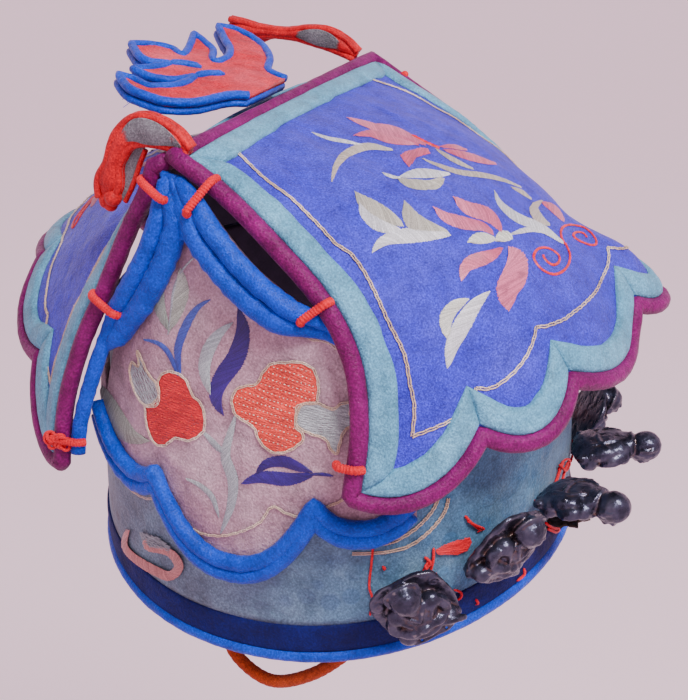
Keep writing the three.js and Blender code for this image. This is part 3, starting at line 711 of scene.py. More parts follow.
def group_base(name, inputs, outputs):
    tree = bpy.data.node_groups.new(name, "ShaderNodeTree")
    for label, value in inputs:
        kind = "NodeSocketColor" if isinstance(value, tuple) else "NodeSocketFloat"
        socket = tree.interface.new_socket(name=label, in_out="INPUT", socket_type=kind)
        socket.default_value = (*value, 1) if isinstance(value, tuple) else value
    for label, kind in outputs:
        tree.interface.new_socket(name=label, in_out="OUTPUT", socket_type=kind)
    return tree, tree.nodes.new("NodeGroupInput"), tree.nodes.new("NodeGroupOutput")


def math_node(tree, operation, a, b=None):
    made = tree.nodes.new("ShaderNodeMath")
    made.operation = operation
    for socket, value in zip(made.inputs, (a, b)):
        if value is None:
            continue
        if isinstance(value, (int, float)):
            socket.default_value = value
        else:
            tree.links.new(value, socket)
    return made.outputs[0]


def pick(made, name, kind):
    """The socket of a Mix node that has the wanted type."""
    return next(s for s in made.inputs if s.name == name and s.type == kind)


def mix_rgb(tree, share, a, b, blend="MIX"):
    made = tree.nodes.new("ShaderNodeMix")
    made.data_type = "RGBA"
    made.blend_type = blend
    sockets = (pick(made, "Factor", "VALUE"), pick(made, "A", "RGBA"), pick(made, "B", "RGBA"))
    for socket, value in zip(sockets, (share, a, b)):
        if isinstance(value, (int, float)):
            socket.default_value = value
        elif isinstance(value, tuple):
            socket.default_value = (*value, 1)
        else:
            tree.links.new(value, socket)
    return next(s for s in made.outputs if s.type == "RGBA")


def mask_from(tree, source, low, high):
    """A value that goes from 0 at low to 1 at high."""
    made = tree.nodes.new("ShaderNodeMapRange")
    made.clamp = True
    made.inputs["From Min"].default_value = low
    made.inputs["From Max"].default_value = high
    tree.links.new(source, made.inputs["Value"])
    return made.outputs["Result"]


def object_place(tree):
    return node(tree, "ShaderNodeTexCoord").outputs["Object"]


def object_noise(tree, scale, detail):
    """Noise over the piece's own coordinates."""
    made = node(tree, "ShaderNodeTexNoise", Scale=scale, Detail=detail)
    tree.links.new(object_place(tree), made.inputs["Vector"])
    return made


def make_cloth_group():
    """Woven cloth: fine grain, slubs, soft creases with painted shade and highlight on them, and faded
    patches.
    """
    tree, start, end = group_base(
        "cloth_face",
        [("Colour", grey(0.3)), ("Faded", grey(0.5)), ("Grain", 900.0), ("Speckle", 0.3), ("Fading", 0.4)],
        [("Colour", "NodeSocketColor"), ("Height", "NodeSocketFloat"), ("Gloss", "NodeSocketFloat")])
    place = object_place(tree)

    def cloud(scale, detail, roughness=0.55):
        made = node(tree, "ShaderNodeTexNoise", Detail=detail, Roughness=roughness)
        if isinstance(scale, (int, float)):
            made.inputs["Scale"].default_value = scale
        else:
            tree.links.new(scale, made.inputs["Scale"])
        tree.links.new(place, made.inputs["Vector"])
        return made.outputs["Fac"]

    grain = cloud(start.outputs["Grain"], 2.0, 0.6)
    patches = cloud(45.0, 4.0)
    crease_relief_and_shade = cloud(160.0, 5.0, 0.6)
    worn = mask_from(tree, patches, 0.42, 0.68)
    faded = math_node(tree, "MULTIPLY", worn, start.outputs["Fading"])
    colour = mix_rgb(tree, faded, start.outputs["Colour"], start.outputs["Faded"])
    bright = ramp(tree, grain, [(0.3, grey(0.35)), (0.5, grey(0.9)), (0.72, grey(1.9))])
    dyed = mix_rgb(tree, 1.0, colour, bright, "MULTIPLY")
    speckled = mix_rgb(tree, start.outputs["Speckle"], colour, dyed)
    # Painted shade in the creases and painted highlight on their crowns: the crease noise darkens and
    # lightens the colour
    shade = ramp(tree, crease_relief_and_shade, [(0.3, grey(0.55)), (0.5, grey(0.95)), (0.72, grey(1.25))])
    shaded = mix_rgb(tree, 1.0, speckled, shade, "MULTIPLY")
    tree.links.new(mix_rgb(tree, 0.7, speckled, shaded), end.inputs["Colour"])
    folds = cloud(70.0, 3.0, 0.5)
    height = math_node(tree, "MULTIPLY", crease_relief_and_shade, 1.9)
    for layer, weight in ((grain, 0.6), (folds, 3.2)):
        height = math_node(tree, "ADD", height, math_node(tree, "MULTIPLY", layer, weight))
    tree.links.new(height, end.inputs["Height"])
    tree.links.new(grain, end.inputs["Gloss"])
    return tree


cloth_group = make_cloth_group()


SHEEN_ROUGHNESS = 0.4


def new_material(name, roughness, metallic=0.0, sheen=0.0, specular=0.5):
    material = bpy.data.materials.new(name)
    material.use_nodes = True
    tree = material.node_tree
    shader = tree.nodes["Principled BSDF"]
    shader.inputs["Roughness"].default_value = roughness
    shader.inputs["Metallic"].default_value = metallic
    shader.inputs["Sheen Weight"].default_value = sheen
    shader.inputs["Sheen Roughness"].default_value = SHEEN_ROUGHNESS
    shader.inputs["Specular IOR Level"].default_value = specular
    return material, tree, shader


def add_bump(tree, shader, height, strength, distance):
    bump = node(tree, "ShaderNodeBump", Strength=strength, Distance=distance)
    tree.links.new(height, bump.inputs["Height"])
    tree.links.new(bump.outputs["Normal"], shader.inputs["Normal"])


CLOTH_SHINE = 0.16
GLOSS_SPREAD = 0.12
CLOTH_RELIEF = 0.0006


def cloth_material(name, colour, faded, grain, speckle, fading, roughness, sheen, bump):
    """A cloth's material, its tree and the node that gives its face."""
    material, tree, shader = new_material(name, roughness, sheen=sheen, specular=CLOTH_SHINE)
    face = tree.nodes.new("ShaderNodeGroup")
    face.node_tree = cloth_group
    face.inputs["Colour"].default_value = (*colour, 1)
    face.inputs["Faded"].default_value = (*faded, 1)
    face.inputs["Grain"].default_value = grain
    face.inputs["Speckle"].default_value = speckle
    face.inputs["Fading"].default_value = fading
    tree.links.new(face.outputs["Colour"], shader.inputs["Base Color"])
    polish = math_node(tree, "MULTIPLY", face.outputs["Gloss"], GLOSS_SPREAD)
    gloss = math_node(tree, "SUBTRACT", roughness + GLOSS_SPREAD / 2, polish)
    tree.links.new(gloss, shader.inputs["Roughness"])
    add_bump(tree, shader, face.outputs["Height"], bump, CLOTH_RELIEF)
    return material, tree, face


# Base colour, faded colour, grain scale, speckle, fading, roughness, sheen and bump
CLOTHS = {
    "roof_satin": ((0.030, 0.026, 0.47), (0.060, 0.056, 0.52), 1900.0, 0.7, 0.5, 0.5, 0.10, 0.9),
    "gable_silk": ((0.34, 0.21, 0.26), (0.48, 0.36, 0.41), 1500.0, 0.4, 0.6, 0.5, 0.05, 0.9),
    "royal_silk": ((0.003, 0.042, 0.44), (0.008, 0.075, 0.55), 1700.0, 0.5, 0.4, 0.42, 0.06, 0.9),
    "border_silk": ((0.001, 0.003, 0.07), (0.002, 0.010, 0.14), 1600.0, 0.5, 0.6, 0.7, 0.0, 0.8),
    "magenta_silk": ((0.125, 0.001, 0.075), (0.20, 0.004, 0.13), 1600.0, 0.5, 0.5, 0.45, 0.06, 0.9),
    "teal_silk": ((0.085, 0.27, 0.41), (0.15, 0.37, 0.52), 1700.0, 0.5, 0.5, 0.42, 0.06, 0.9),
    "red_silk": ((0.46, 0.004, 0.010), (0.58, 0.014, 0.024), 1700.0, 0.5, 0.5, 0.45, 0.08, 0.9),
    "grey_silk": ((0.16, 0.16, 0.18), (0.30, 0.30, 0.33), 2000.0, 0.6, 0.4, 0.6, 0.05, 0.9),
    "felt_cloth": ((0.52, 0.010, 0.028), (0.60, 0.075, 0.11), 2400.0, 0.7, 0.8, 0.95, 0.12, 1.0),
    "cord_cotton": ((0.30, 0.036, 0.007), (0.38, 0.07, 0.022), 2600.0, 0.6, 0.5, 0.85, 0.08, 0.6),
    "red_thread": ((0.58, 0.003, 0.014), (0.66, 0.012, 0.026), 3000.0, 0.5, 0.5, 0.5, 0.1, 0.6),
    "pale_thread": ((0.50, 0.36, 0.27), (0.84, 0.74, 0.64), 2600.0, 0.5, 0.7, 0.45, 0.1, 0.6),
}
(roof_satin, gable_silk, royal_silk, border_silk, magenta_silk, teal_silk, red_silk, grey_silk, felt_cloth,
 cord_cotton, red_thread, pale_thread) = (cloth_material(name, *row)[0] for name, row in CLOTHS.items())


# Band colours at the side, at the brow and in the figure; depths in metres where the brow's starts
# and is full; size and edge of one figure
BAND_SIDE, BAND_BROW, BAND_FIGURE = (0.085, 0.105, 0.145), (0.045, 0.13, 0.25), (0.12, 0.22, 0.30)
BROW_FROM, BROW_FULL = 0.015, -0.055
FIGURE_SCALE, FIGURE_EDGE, FIGURE_SHARE = 120.0, (0.32, 0.38), 0.25


def make_band_silk():
    """Figured silk that goes from blue grey at the sides to teal blue at the brow."""
    material, tree, face = cloth_material(
        "band_silk", (0.1, 0.2, 0.3), (0.16, 0.27, 0.36), 1500.0, 0.5, 0.6, 0.55, 0.15, 0.7)
    place = object_place(tree)
    parts = node(tree, "ShaderNodeSeparateXYZ")
    tree.links.new(place, parts.inputs[0])
    front = mask_from(tree, parts.outputs["Y"], BROW_FROM, BROW_FULL)
    colour = mix_rgb(tree, front, BAND_SIDE, BAND_BROW)
    pattern = node(tree, "ShaderNodeTexVoronoi", Scale=FIGURE_SCALE, feature="F1")
    tree.links.new(place, pattern.inputs["Vector"])
    figure = mask_from(tree, pattern.outputs["Distance"], *FIGURE_EDGE)
    figured = mix_rgb(tree, math_node(tree, "MULTIPLY", figure, FIGURE_SHARE), colour, BAND_FIGURE)
    tree.links.new(figured, face.inputs["Colour"])
    return material


# Lining colours: painted shade inside, and the print's ground, flowers and flowers' hearts
INSIDE_SHADE, COTTON = (0.030, 0.022, 0.045), (0.72, 0.70, 0.72)
BLOOM, HEART = (0.34, 0.26, 0.40), (0.62, 0.60, 0.66)
BLOOM_SCALE, BLOOM_EDGE, HEART_EDGE, BLOOM_WARP = 170.0, (0.36, 0.3), (0.14, 0.1), 0.006


def make_lining(name, axis, dark_at, bright_at):
    """White cotton with a small mauve and grey flower print. Inside it is painted dark as shade: the print
    shows from dark_at to bright_at, distances in metres from the middle along an axis."""
    material, tree, face = cloth_material(
        name, (0.7, 0.68, 0.7), (0.6, 0.6, 0.66), 1500.0, 0.15, 0.0, 0.8, 0.1, 0.35)
    place = object_place(tree)
    blooms = node(tree, "ShaderNodeTexVoronoi", Scale=BLOOM_SCALE, feature="F1", Randomness=0.7)
    warp = object_noise(tree, 300.0, 2.0)
    bent = mix_rgb(tree, BLOOM_WARP, place, warp.outputs["Color"], "ADD")
    tree.links.new(bent, blooms.inputs["Vector"])
    spots = mask_from(tree, blooms.outputs["Distance"], *BLOOM_EDGE)
    hearts = mask_from(tree, blooms.outputs["Distance"], *HEART_EDGE)
    printed = mix_rgb(tree, hearts, mix_rgb(tree, spots, COTTON, BLOOM), HEART)
    parts = node(tree, "ShaderNodeSeparateXYZ")
    tree.links.new(place, parts.inputs[0])
    # Where the print shows; further in, the lining is painted dark as shade
    bright = mask_from(tree, math_node(tree, "ABSOLUTE", parts.outputs[axis]), dark_at, bright_at)
    tree.links.new(mix_rgb(tree, bright, INSIDE_SHADE, printed), face.inputs["Colour"])
    return material


def make_embroidery():
    """Floss silk in the colour that each stitch carries."""
    material, tree, shader = new_material("embroidery_floss", 0.36, sheen=0.1, specular=0.4)
    dye = node(tree, "ShaderNodeVertexColor", layer_name="dye")
    fibre = object_noise(tree, 2600.0, 2.0)
    shade = ramp(tree, fibre.outputs["Fac"], [(0.3, grey(0.7)), (0.7, grey(1.2))])
    colour = mix_rgb(tree, 1.0, dye.outputs["Color"], shade, "MULTIPLY")
    tree.links.new(colour, shader.inputs["Base Color"])
    add_bump(tree, shader, fibre.outputs["Fac"], 0.4, 0.0002)
    return material


# Silver: blotches from dark to light, brown in the hollows and bright where rubbed, each with its
# range of pointiness and its share
SILVER_BLOTCHES = [(0.3, (0.018, 0.018, 0.032)), (0.55, (0.045, 0.045, 0.078)), (0.75, (0.085, 0.083, 0.12))]
HOLLOW_RANGE, HOLLOW_SHARE, HOLLOW_COLOUR = (0.492, 0.45), 0.75, (0.11, 0.062, 0.045)
RUBBED_RANGE, RUBBED_SHARE, RUBBED_COLOUR = (0.525, 0.60), 0.5, (0.26, 0.22, 0.23)
SILVER_ROUGH, SILVER_ROUGH_SPREAD, SILVER_RELIEF = 0.2, 0.22, 0.0011


def make_silver():
    """Low silver gone dark, bright where it is rubbed and brown in the hollows."""
    material, tree, shader = new_material("worn_silver", 0.3, 0.75)
    point = node(tree, "ShaderNodeNewGeometry").outputs["Pointiness"]
    blotch = object_noise(tree, 260.0, 5.0)
    colour = ramp(tree, blotch.outputs["Fac"], SILVER_BLOTCHES)
    for limits, share, tint in ((HOLLOW_RANGE, HOLLOW_SHARE, HOLLOW_COLOUR),
                                (RUBBED_RANGE, RUBBED_SHARE, RUBBED_COLOUR)):
        mask = math_node(tree, "MULTIPLY", mask_from(tree, point, *limits), share)
        colour = mix_rgb(tree, mask, colour, tint)
    tree.links.new(colour, shader.inputs["Base Color"])
    rough = mask_from(tree, blotch.outputs["Fac"], 0.3, 0.8)
    rough = math_node(tree, "ADD", math_node(tree, "MULTIPLY", rough, SILVER_ROUGH_SPREAD), SILVER_ROUGH)
    tree.links.new(rough, shader.inputs["Roughness"])
    add_bump(tree, shader, blotch.outputs["Fac"], 0.6, SILVER_RELIEF)
    return material


def make_dark_metal():
    """Crusted metal, near black with brown patches."""
    material, tree, shader = new_material("dark_metal", 0.6, 0.5)
    crust = object_noise(tree, 600.0, 6.0)
    colour = ramp(tree, crust.outputs["Fac"], [(0.35, (0.012, 0.009, 0.007)), (0.7, (0.07, 0.045, 0.03))])
    tree.links.new(colour, shader.inputs["Base Color"])
    add_bump(tree, shader, crust.outputs["Fac"], 0.8, 0.0008)
    return material


band_silk = make_band_silk()
# Painted shade inside: the band's lining is dark above 5 cm, the roofs' away from their side edges, the
# gables' nearly all over
band_lining = make_lining("band_lining", "Z", 0.05, 0.036)
roof_lining = make_lining("roof_lining", "X", 0.062, 0.066)
gable_lining = make_lining("gable_lining", "Z", 0.04, 0.03)
floss = make_embroidery()
silver = make_silver()
dark_metal = make_dark_metal()

# Cord loops, by the same points as the part's source
CORD = 4.0
CORD_POINTS = [
    (-71.4, 10, 16), (-71.4, 8, 6), (-71.6, 3, -6), (-71.2, -8, -12), (-69, -20, -8), (-65.3, -30, 0),
    (-61.2, -37, 9), (-59.5, -39, 16),
]


CORD_STEPS, CORD_SIDES = 240, 28
# Length of one turn of a strand, and how deep the furrows between strands are
BRAID_TURN, BRAID_DEPTH = 9.5, 0.16


def make_cord(name, side):
    """A loop of eight-strand braid: two sets of strands cross over each other round the cord."""
    path = curve_through([(-side * x, y, z) for x, y, z in CORD_POINTS], CORD_STEPS)
    outs = [Vector((side, 0, 0.2)) for _ in path]
    points, faces, uvs = tube(path, outs, CORD / 2, CORD_SIDES)
    length = path_length(path)
    for i, centre in enumerate(path):
        turn = length * i / CORD_STEPS / BRAID_TURN * 2 * math.pi
        for k in range(CORD_SIDES):
            angle = 2 * math.pi * k / CORD_SIDES
            over = max(abs(math.sin(2 * (angle - turn))), abs(math.sin(2 * (angle + turn))))
            index = i * CORD_SIDES + k
            points[index] = centre.lerp(points[index], 1 - BRAID_DEPTH + BRAID_DEPTH * over)
    piece = make_piece(f"{name}_braid", points, faces, cord_cotton, [f"{name}_cord_loop"],
                       uvs=uvs)
    centre = [p * MM for p in path]
    tuple(centre[0])
    path_length(centre)
    [tuple(p) for p in centre]


for name, side in SIDES.items():
    make_cord(name, side)


def face_area(points, faces):
    """Area of four-sided faces."""
    area = 0.0
    for face in faces:
        a, b, c, d = (points[k] for k in face)
        area += ((b - a).cross(c - a).length + (c - a).cross(d - a).length) / 2
    return area


def lay_flat(piece, points, faces, columns, rows):
    """Works out a sewn sheet's size and the area of its outer face, and keeps neither."""
    across = [points[j:columns * rows:rows] for j in (0, rows // 2, rows - 1)]
    breadth = max(path_length(line) for line in across)
    length = max(path_length(points[i * rows:(i + 1) * rows]) for i in range(columns))
    face_area(points, faces) * MM * MM


# Band, border and rim piping
BORDER_FOOT = RIM_PIPE + CLEARANCE
BAND_FOOT = BORDER_FOOT + BORDER_HEIGHT + CLEARANCE
AROUND = 240
BORDER_ROWS, BORDER_PUFF, BORDER_TUCK = 12, 0.3, 0.5
CROWN_ROWS, CROWN_TUCK = 34, 0.4


def make_ring(name, rows, grow, depth, foot, top, material, replaced, puff=0.0):
    """A cloth wall round the hat: the piece, its points and its outer faces."""
    def place(i, j, face):
        angle = 2 * math.pi * i / AROUND
        y = oval_point(angle, 0, 0).y
        share = j / (rows - 1)
        z = mix(rim_height(y) + foot, top(y), share)
        swell = puff * (1 - (2 * share - 1) ** 4)
        wave = band_wave(angle, z) * smooth(4 * share)
        return oval_point(angle, grow - band_lean(z) - face * depth + (1 - face) * (swell + wave), z)

    points, faces, inner = cloth_wall(AROUND, rows, place, around=True)
    piece = make_piece(name, points, faces, material, [replaced], second=(band_lining, inner))
    return piece, points, faces[:len(inner)]


border = make_ring(
    "rim_border_cloth", BORDER_ROWS, -BAND_SET_IN + BORDER_PROUD, BORDER_WALL, BORDER_FOOT - BORDER_TUCK,
    lambda y: rim_height(y) + BORDER_FOOT + BORDER_HEIGHT, border_silk, "rim_border",
    BORDER_PUFF)[0]
crown, crown_points, crown_faces = make_ring(
    "crown_cloth", CROWN_ROWS, -BAND_SET_IN, BAND_WALL, BAND_FOOT - CROWN_TUCK,
    lambda y: BAND_TOP, band_silk, "crown_band")
lay_flat(crown, crown_points, crown_faces, AROUND, CROWN_ROWS)


PIPE_SIDES = 14


def make_rim():
    """The round piping along the rim."""
    path = []
    for i in range(AROUND * 2):
        spot = oval_point(math.pi * i / AROUND, -RIM_PIPE / 2, 0)
        spot.z = rim_height(spot.y) + RIM_PIPE / 2
        path.append(spot)
    outs = [Vector((p.x, p.y, 0)).normalized() for p in path]
    points, faces, uvs = tube(path, outs, RIM_PIPE / 2 + 0.15, PIPE_SIDES, closed=True, crumple=0.06)
    make_piece("rim_piping_cloth", points, faces, royal_silk, ["rim_piping"], uvs=uvs)


make_rim()

# Roof panels with their padded bands, bindings and couched threads
SHEET_INSET = BINDING / 2 - 0.4
BAND_INSET = BINDING / 2 - 0.2
ROOF_ROWS = 84


def make_roof(side):
    """A roof panel's sheet, a little inside its binding."""
    roof = roofs[side]
    edge = roof.set_in(roof_runs(roof), SHEET_INSET)[:LOBE_SPANS]
    edge = one_round(edge) + [edge[-1][-1]]
    top = SHEET_INSET / roof.length * 1.6

    def place(i, j, face):
        share = j / (ROOF_ROWS - 1)
        u = mix(roof.own(eave_stops[i]) * (1 - 2 * SHEET_INSET / RIDGE_LENGTH), edge[i][0], share)
        return roof.over(u, mix(top, edge[i][1], share), ROOF_WALL * (0.5 - face))

    points, faces, inner = cloth_wall(len(edge), ROOF_ROWS, place)
    piece = make_piece(f"{side}_roof_cloth", points, faces, roof_satin,
                       [f"{side}_roof_panel"], second=(roof_lining, inner))
    lay_flat(piece, points, faces[:len(inner)], len(edge), ROOF_ROWS)


TRIM_ROWS = 13
TRIM_OVERLAP = 0.9
TRIM_UNEVEN, TRIM_UNEVEN_SPAN, TRIM_UNEVEN_LENGTH = 0.09, 60, 4.0
# Thickness of the padding, the share of it left at a mitre, and the run over which it fills out
TRIM_PUFF, TRIM_SEAM, TRIM_SEAM_REACH = 1.7, 0.2, 1.3
TRIM_PUCKER, TRIM_PUCKER_LENGTH = 0.16, 2.4


def make_trim(side):
    """The padded band inside the binding: one strip for each run, with a seam at each mitre."""
    roof = roofs[side]
    runs = roof_runs(roof)
    outer = roof.set_in(runs, BAND_INSET)
    inner = roof.set_in(runs, BAND_INSET + TRIM_WIDTH + TRIM_OVERLAP)
    shares = [0.5 - 0.5 * math.cos(math.pi * j / (TRIM_ROWS - 1)) for j in range(TRIM_ROWS)]
    shapes = []
    for near, far in zip(outer, inner):
        count = len(near)

        def across(i, share):
            return [mix(near[i][k], far[i][k], share) for k in (0, 1)]

        def place(i, j, face):
            span = [TRIM_UNEVEN_SPAN * value for value in near[i]]
            uneven = 1 + TRIM_UNEVEN * ripple((*span, 0), TRIM_UNEVEN_LENGTH, 1.7)
            u, v = across(i, shares[j] * uneven)
            spot = roof.place(u, v)
            ends = min((spot - roof.place(*across(m, shares[j]))).length for m in (0, count - 1))
            fullness = mix(TRIM_SEAM, 1, 1 - math.exp(-ends / TRIM_SEAM_REACH))
            puff = TRIM_PUFF * (1 - (2 * shares[j] - 1) ** 4) ** 0.6 * fullness
            pucker = TRIM_PUCKER * ripple(spot, TRIM_PUCKER_LENGTH, 4.1) * min(1.0, puff)
            return roof.over(u, v, ROOF_WALL / 2 + 0.05 + (1 - face) * (0.12 + puff + pucker))

        shapes.append(cloth_wall(count, TRIM_ROWS, place)[:2] + ([],))
    points, faces, _ = gather(shapes)
    piece = make_piece(f"{side}_roof_band", points, faces, teal_silk, [f"{side}_roof_trim"])


# Along the ridge the back binding goes down and forward, under the front one
RIDGE_UNDER, RIDGE_DROP, RIDGE_CLOSE = 0.05, 2.4, 1.0


def make_binding(side):
    """The round binding along a roof panel's outline."""
    roof = roofs[side]
    outline = one_round(roof_runs(roof))
    path = [roof.base(u, v) for u, v in outline]
    if side == "back":
        for (u, v), spot in zip(outline, path):
            under = smooth(1 - v / RIDGE_UNDER)
            spot.z -= RIDGE_DROP * under
            spot.y -= RIDGE_CLOSE * under
    outs = [roof.normal(max(-SIDE_LIMIT, min(SIDE_LIMIT, u)), max(0.01, min(v, 1.05))) for u, v in outline]
    points, faces, uvs = tube(path, outs, BINDING / 2 + 0.1, PIPE_SIDES, closed=True, crumple=0.07,
                              seed=roof.way)
    make_piece(f"{side}_roof_binding_cloth", points, faces, magenta_silk,
               [f"{side}_roof_binding"], uvs=uvs)


for side in roofs:
    make_roof(side)
    make_trim(side)
    make_binding(side)

# Gables with their pipings
hem_columns = [mix(HEM_CUSPS[0], HEM_CUSPS[-1], t) for t in steps(130)]
hem_columns = sorted(set(hem_columns + HEM_CUSPS + [RIDGE_BACK]))
GABLE_ROWS = 60

# Shares of the roof's side edge at which the edgings start, end, thin and merge
EDGING_TOP = 0.03
EDGING_ENDS = {"front": 0.68, "back": 0.97}
EDGING_SINGLE, EDGING_THIN, EDGING_TOP_SIZE, EDGING_SPREAD, EDGING_FADE = 0.6, 0.8, 0.55, 1.8, 0.12
EDGING_MERGE = {"front": (0.6, 0.12), "back": (0.48, 0.3)}
LOWER_BOW = 0.3
# The front edging's lower end: start, how much thinner it gets and how far in it goes
TAIL_START, TAIL_THIN, TAIL_DEPTH = 0.72, 0.6, 2.4
INNER_SPREAD, INNER_SIZE = 1.14, 1.2
EDGING_STEPS, LINE_STEPS = 90, 60
EDGING_CRUMPLE = 0.11
# The inner piping is left out where it spreads less than this, and is full size from the next
INNER_LEAST, INNER_FULL = 0.12, 0.9


def edging_stop(way, side, share):
    """Both pipings' centres, their radius and how far they are spread."""
    roof = roofs[way]
    v = mix(EDGING_TOP, EDGING_ENDS[way], share)
    edge = roof.plain(1, v)
    ahead = roof.plain(1, v + 0.01) - roof.plain(1, v - 0.01)
    inward = Vector((0, -roof.way * abs(ahead.z), -abs(ahead.y))).normalized()
    thin = mix(1, EDGING_THIN, smooth((v - EDGING_SINGLE) / EDGING_FADE))
    radius = mix(EDGING_TOP_SIZE, thin, smooth(v / EDGING_FADE)) * GABLE_PIPE / 2
    top, middle, corner = TIE_SHARES
    bow = EDGING_GAP * max(math.sin(math.pi * clamp((v - top) / (middle - top))),
                           LOWER_BOW * math.sin(math.pi * clamp((v - middle) / (corner - middle))))
    tail = smooth((share - TAIL_START) / (1 - TAIL_START)) if way == "front" else 0
    radius *= 1 - TAIL_THIN * tail
    away = mix(BINDING / 2 + radius + 2 * CLEARANCE + bow, radius + ROOF_WALL / 2, tail)
    opening = smooth((v - EDGING_FADE / 2) / EDGING_FADE)
    merge, merge_reach = EDGING_MERGE[way]
    spread = EDGING_SPREAD * opening * (1 - smooth((v - merge) / merge_reach))
    spot = edge + inward * away
    join = smooth(1 - v / EDGING_FADE)
    spot.y = mix(spot.y, RIDGE_BACK - PEAK_FORWARD + roof.way * (radius + 4 * CLEARANCE), join)
    spot.z = mix(spot.z, RIDGE_HEIGHT - PEAK_DROP, join)
    inner = spot + inward * spread * INNER_SPREAD * radius
    foot = GABLE_WALL / 2 + 2 * CLEARANCE + radius
    cloth = max(gables["left"].x(p.y, p.z) + foot for p in (spot, inner))
    spot.x = side * (max(edge.x, cloth) - TAIL_DEPTH * tail)
    inner.x = spot.x
    return spot, inner, radius, spread


def edging_height(y):
    """Height of the outer piping's middle over a depth y, or a great height where it has none."""
    way = "front" if y < RIDGE_BACK else "back"
    stops = EDGING_LINES[way]
    for a, b in zip(stops, stops[1:]):
        if min(a.y, b.y) <= y <= max(a.y, b.y):
            return mix(a.z, b.z, (y - a.y) / (b.y - a.y)) if abs(b.y - a.y) > 1e-6 else a.z
    return RIDGE_HEIGHT


EDGING_LINES = {way: [edging_stop(way, 1, t)[0] for t in steps(LINE_STEPS)] for way in roofs}


def make_gable(name):
    """A gable's sheet, from its hem up to the roof or the edging."""
    gable = gables[name]
    tops = {y: min(roof_edge_height(y) - GABLE_UNDER_ROOF, edging_height(y)) for y in hem_columns}

    def place(i, j, face):
        y = hem_columns[i]
        z = mix(hem_height(y), tops[y], j / (GABLE_ROWS - 1))
        return gable.over(y, z, GABLE_WALL * (0.5 - face))

    points, faces, inner = cloth_wall(len(hem_columns), GABLE_ROWS, place)
    piece = make_piece(f"{name}_gable_cloth", points, faces, gable_silk,
                       [f"{name}_gable_panel"], second=(gable_lining, inner))
    lay_flat(piece, points, faces[:len(inner)], len(hem_columns), GABLE_ROWS)


def make_edging(name, way):
    """The two pipings along one slope of a gable; the inner one ends where they merge."""
    side = SIDES[name]
    stops = [edging_stop(way, side, t) for t in steps(EDGING_STEPS)]
    doubled = [stop for stop in stops if stop[3] > INNER_LEAST]
    lines = [
        ([stop[0] for stop in stops], [stop[2] for stop in stops], 1.3),
        ([stop[1] for stop in doubled],
         [INNER_SIZE * stop[2] * smooth(stop[3] / INNER_FULL) + 0.05 for stop in doubled], 2.9),
    ]
    shapes = []
    for path, radii, seed in lines:
        outs = [Vector((side, 0, 0.15)).normalized() for _ in path]
        shapes.append(tube(path, outs, lambda share: radii[round(share * (len(radii) - 1))], PIPE_SIDES,
                           crumple=EDGING_CRUMPLE, seed=seed))
    points, faces, uvs = gather(shapes)
    make_piece(f"{name}_{way}_edging_cloth", points, faces, royal_silk,
               [f"{name}_{way}_edging"], uvs=uvs)


# Height between the hem's two pipings and how far out they sit, as shares of their radius
HEM_ROW_SHARE, HEM_OUT_SHARE = 1.7, 0.8


def make_hem(name):
    """The two pipings along a gable's scalloped hem."""
    side = SIDES[name]
    gable = gables[name]
    radius = HEM_PIPE / 2
    shapes = []
    for row in (0, 1):
        path = []
        for y in hem_columns:
            z = hem_height(y) + radius + row * radius * HEM_ROW_SHARE
            out = gable.x(y, z) + GABLE_WALL / 2 + 0.4 + radius * HEM_OUT_SHARE
            path.append(Vector((side * out, y, z)))
        outs = [Vector((p.x, p.y, 0)).normalized() for p in path]
        shapes.append(tube(path, outs, radius + 0.1, PIPE_SIDES, crumple=EDGING_CRUMPLE, seed=row + 5.1))
    points, faces, uvs = gather(shapes)
    make_piece(f"{name}_hem_edging_cloth", points, faces, royal_silk,
               [f"{name}_hem_edging"], uvs=uvs)


GUSSET_FOOT, GUSSET_ROWS, GUSSET_ACROSS = 124, 24, 12
# Fold that stands out along the gusset's middle: depth and the height over which it grows
GUSSET_CREASE, GUSSET_CREASE_RISE = 1.3, 9
# How far the gusset's top edge is lifted in the middle, and the height over which that ends
GUSSET_LIFT, GUSSET_LIFT_DROP = 3.0, 20


def make_peak_gusset(name):
    """The folded silk between the two edgings, under the peak."""
    side = SIDES[name]
    front, back = EDGING_LINES["front"], EDGING_LINES["back"]

    def on_line(line, z):
        for a, b in zip(line, line[1:]):
            if b.z <= z <= a.z:
                return a.lerp(b, (a.z - z) / max(1e-6, a.z - b.z))
        return line[0]

    def place(i, j, face):
        z = mix(RIDGE_HEIGHT - PEAK_DROP + 1.5, GUSSET_FOOT, i / (GUSSET_ROWS - 1))
        t = j / (GUSSET_ACROSS - 1)
        spot = on_line(front, z).lerp(on_line(back, z), t)
        inside = 1 - abs(2 * t - 1)
        crease = GUSSET_CREASE * inside ** 0.7 * smooth((z - GUSSET_FOOT) / GUSSET_CREASE_RISE)
        lift = GUSSET_LIFT * inside * smooth((RIDGE_HEIGHT - z) / GUSSET_LIFT_DROP)
        return Vector((side * (abs(spot.x) + 0.5 + crease - face), spot.y, z + lift))

    points, faces, _ = cloth_wall(GUSSET_ROWS, GUSSET_ACROSS, place)
    make_piece(f"{name}_peak_gusset", points, faces, royal_silk)


for name in SIDES:
    make_gable(name)
    make_peak_gusset(name)
    make_hem(name)
    for way in roofs:
        make_edging(name, way)

# Thread ties: wrapped bars over the roof's binding and the gable's edging
TIE_THICKNESS = 2.0
TIE_REACH = 3.0
TIE_NAMES = ["top", "middle", "corner"]
TIE_STEPS, TIE_SIDES = 110, 16
# Length of one turn of the wrapping thread, and the depth of the furrow between two turns
WRAP_TURN, WRAP_DEPTH = 0.85, 0.20


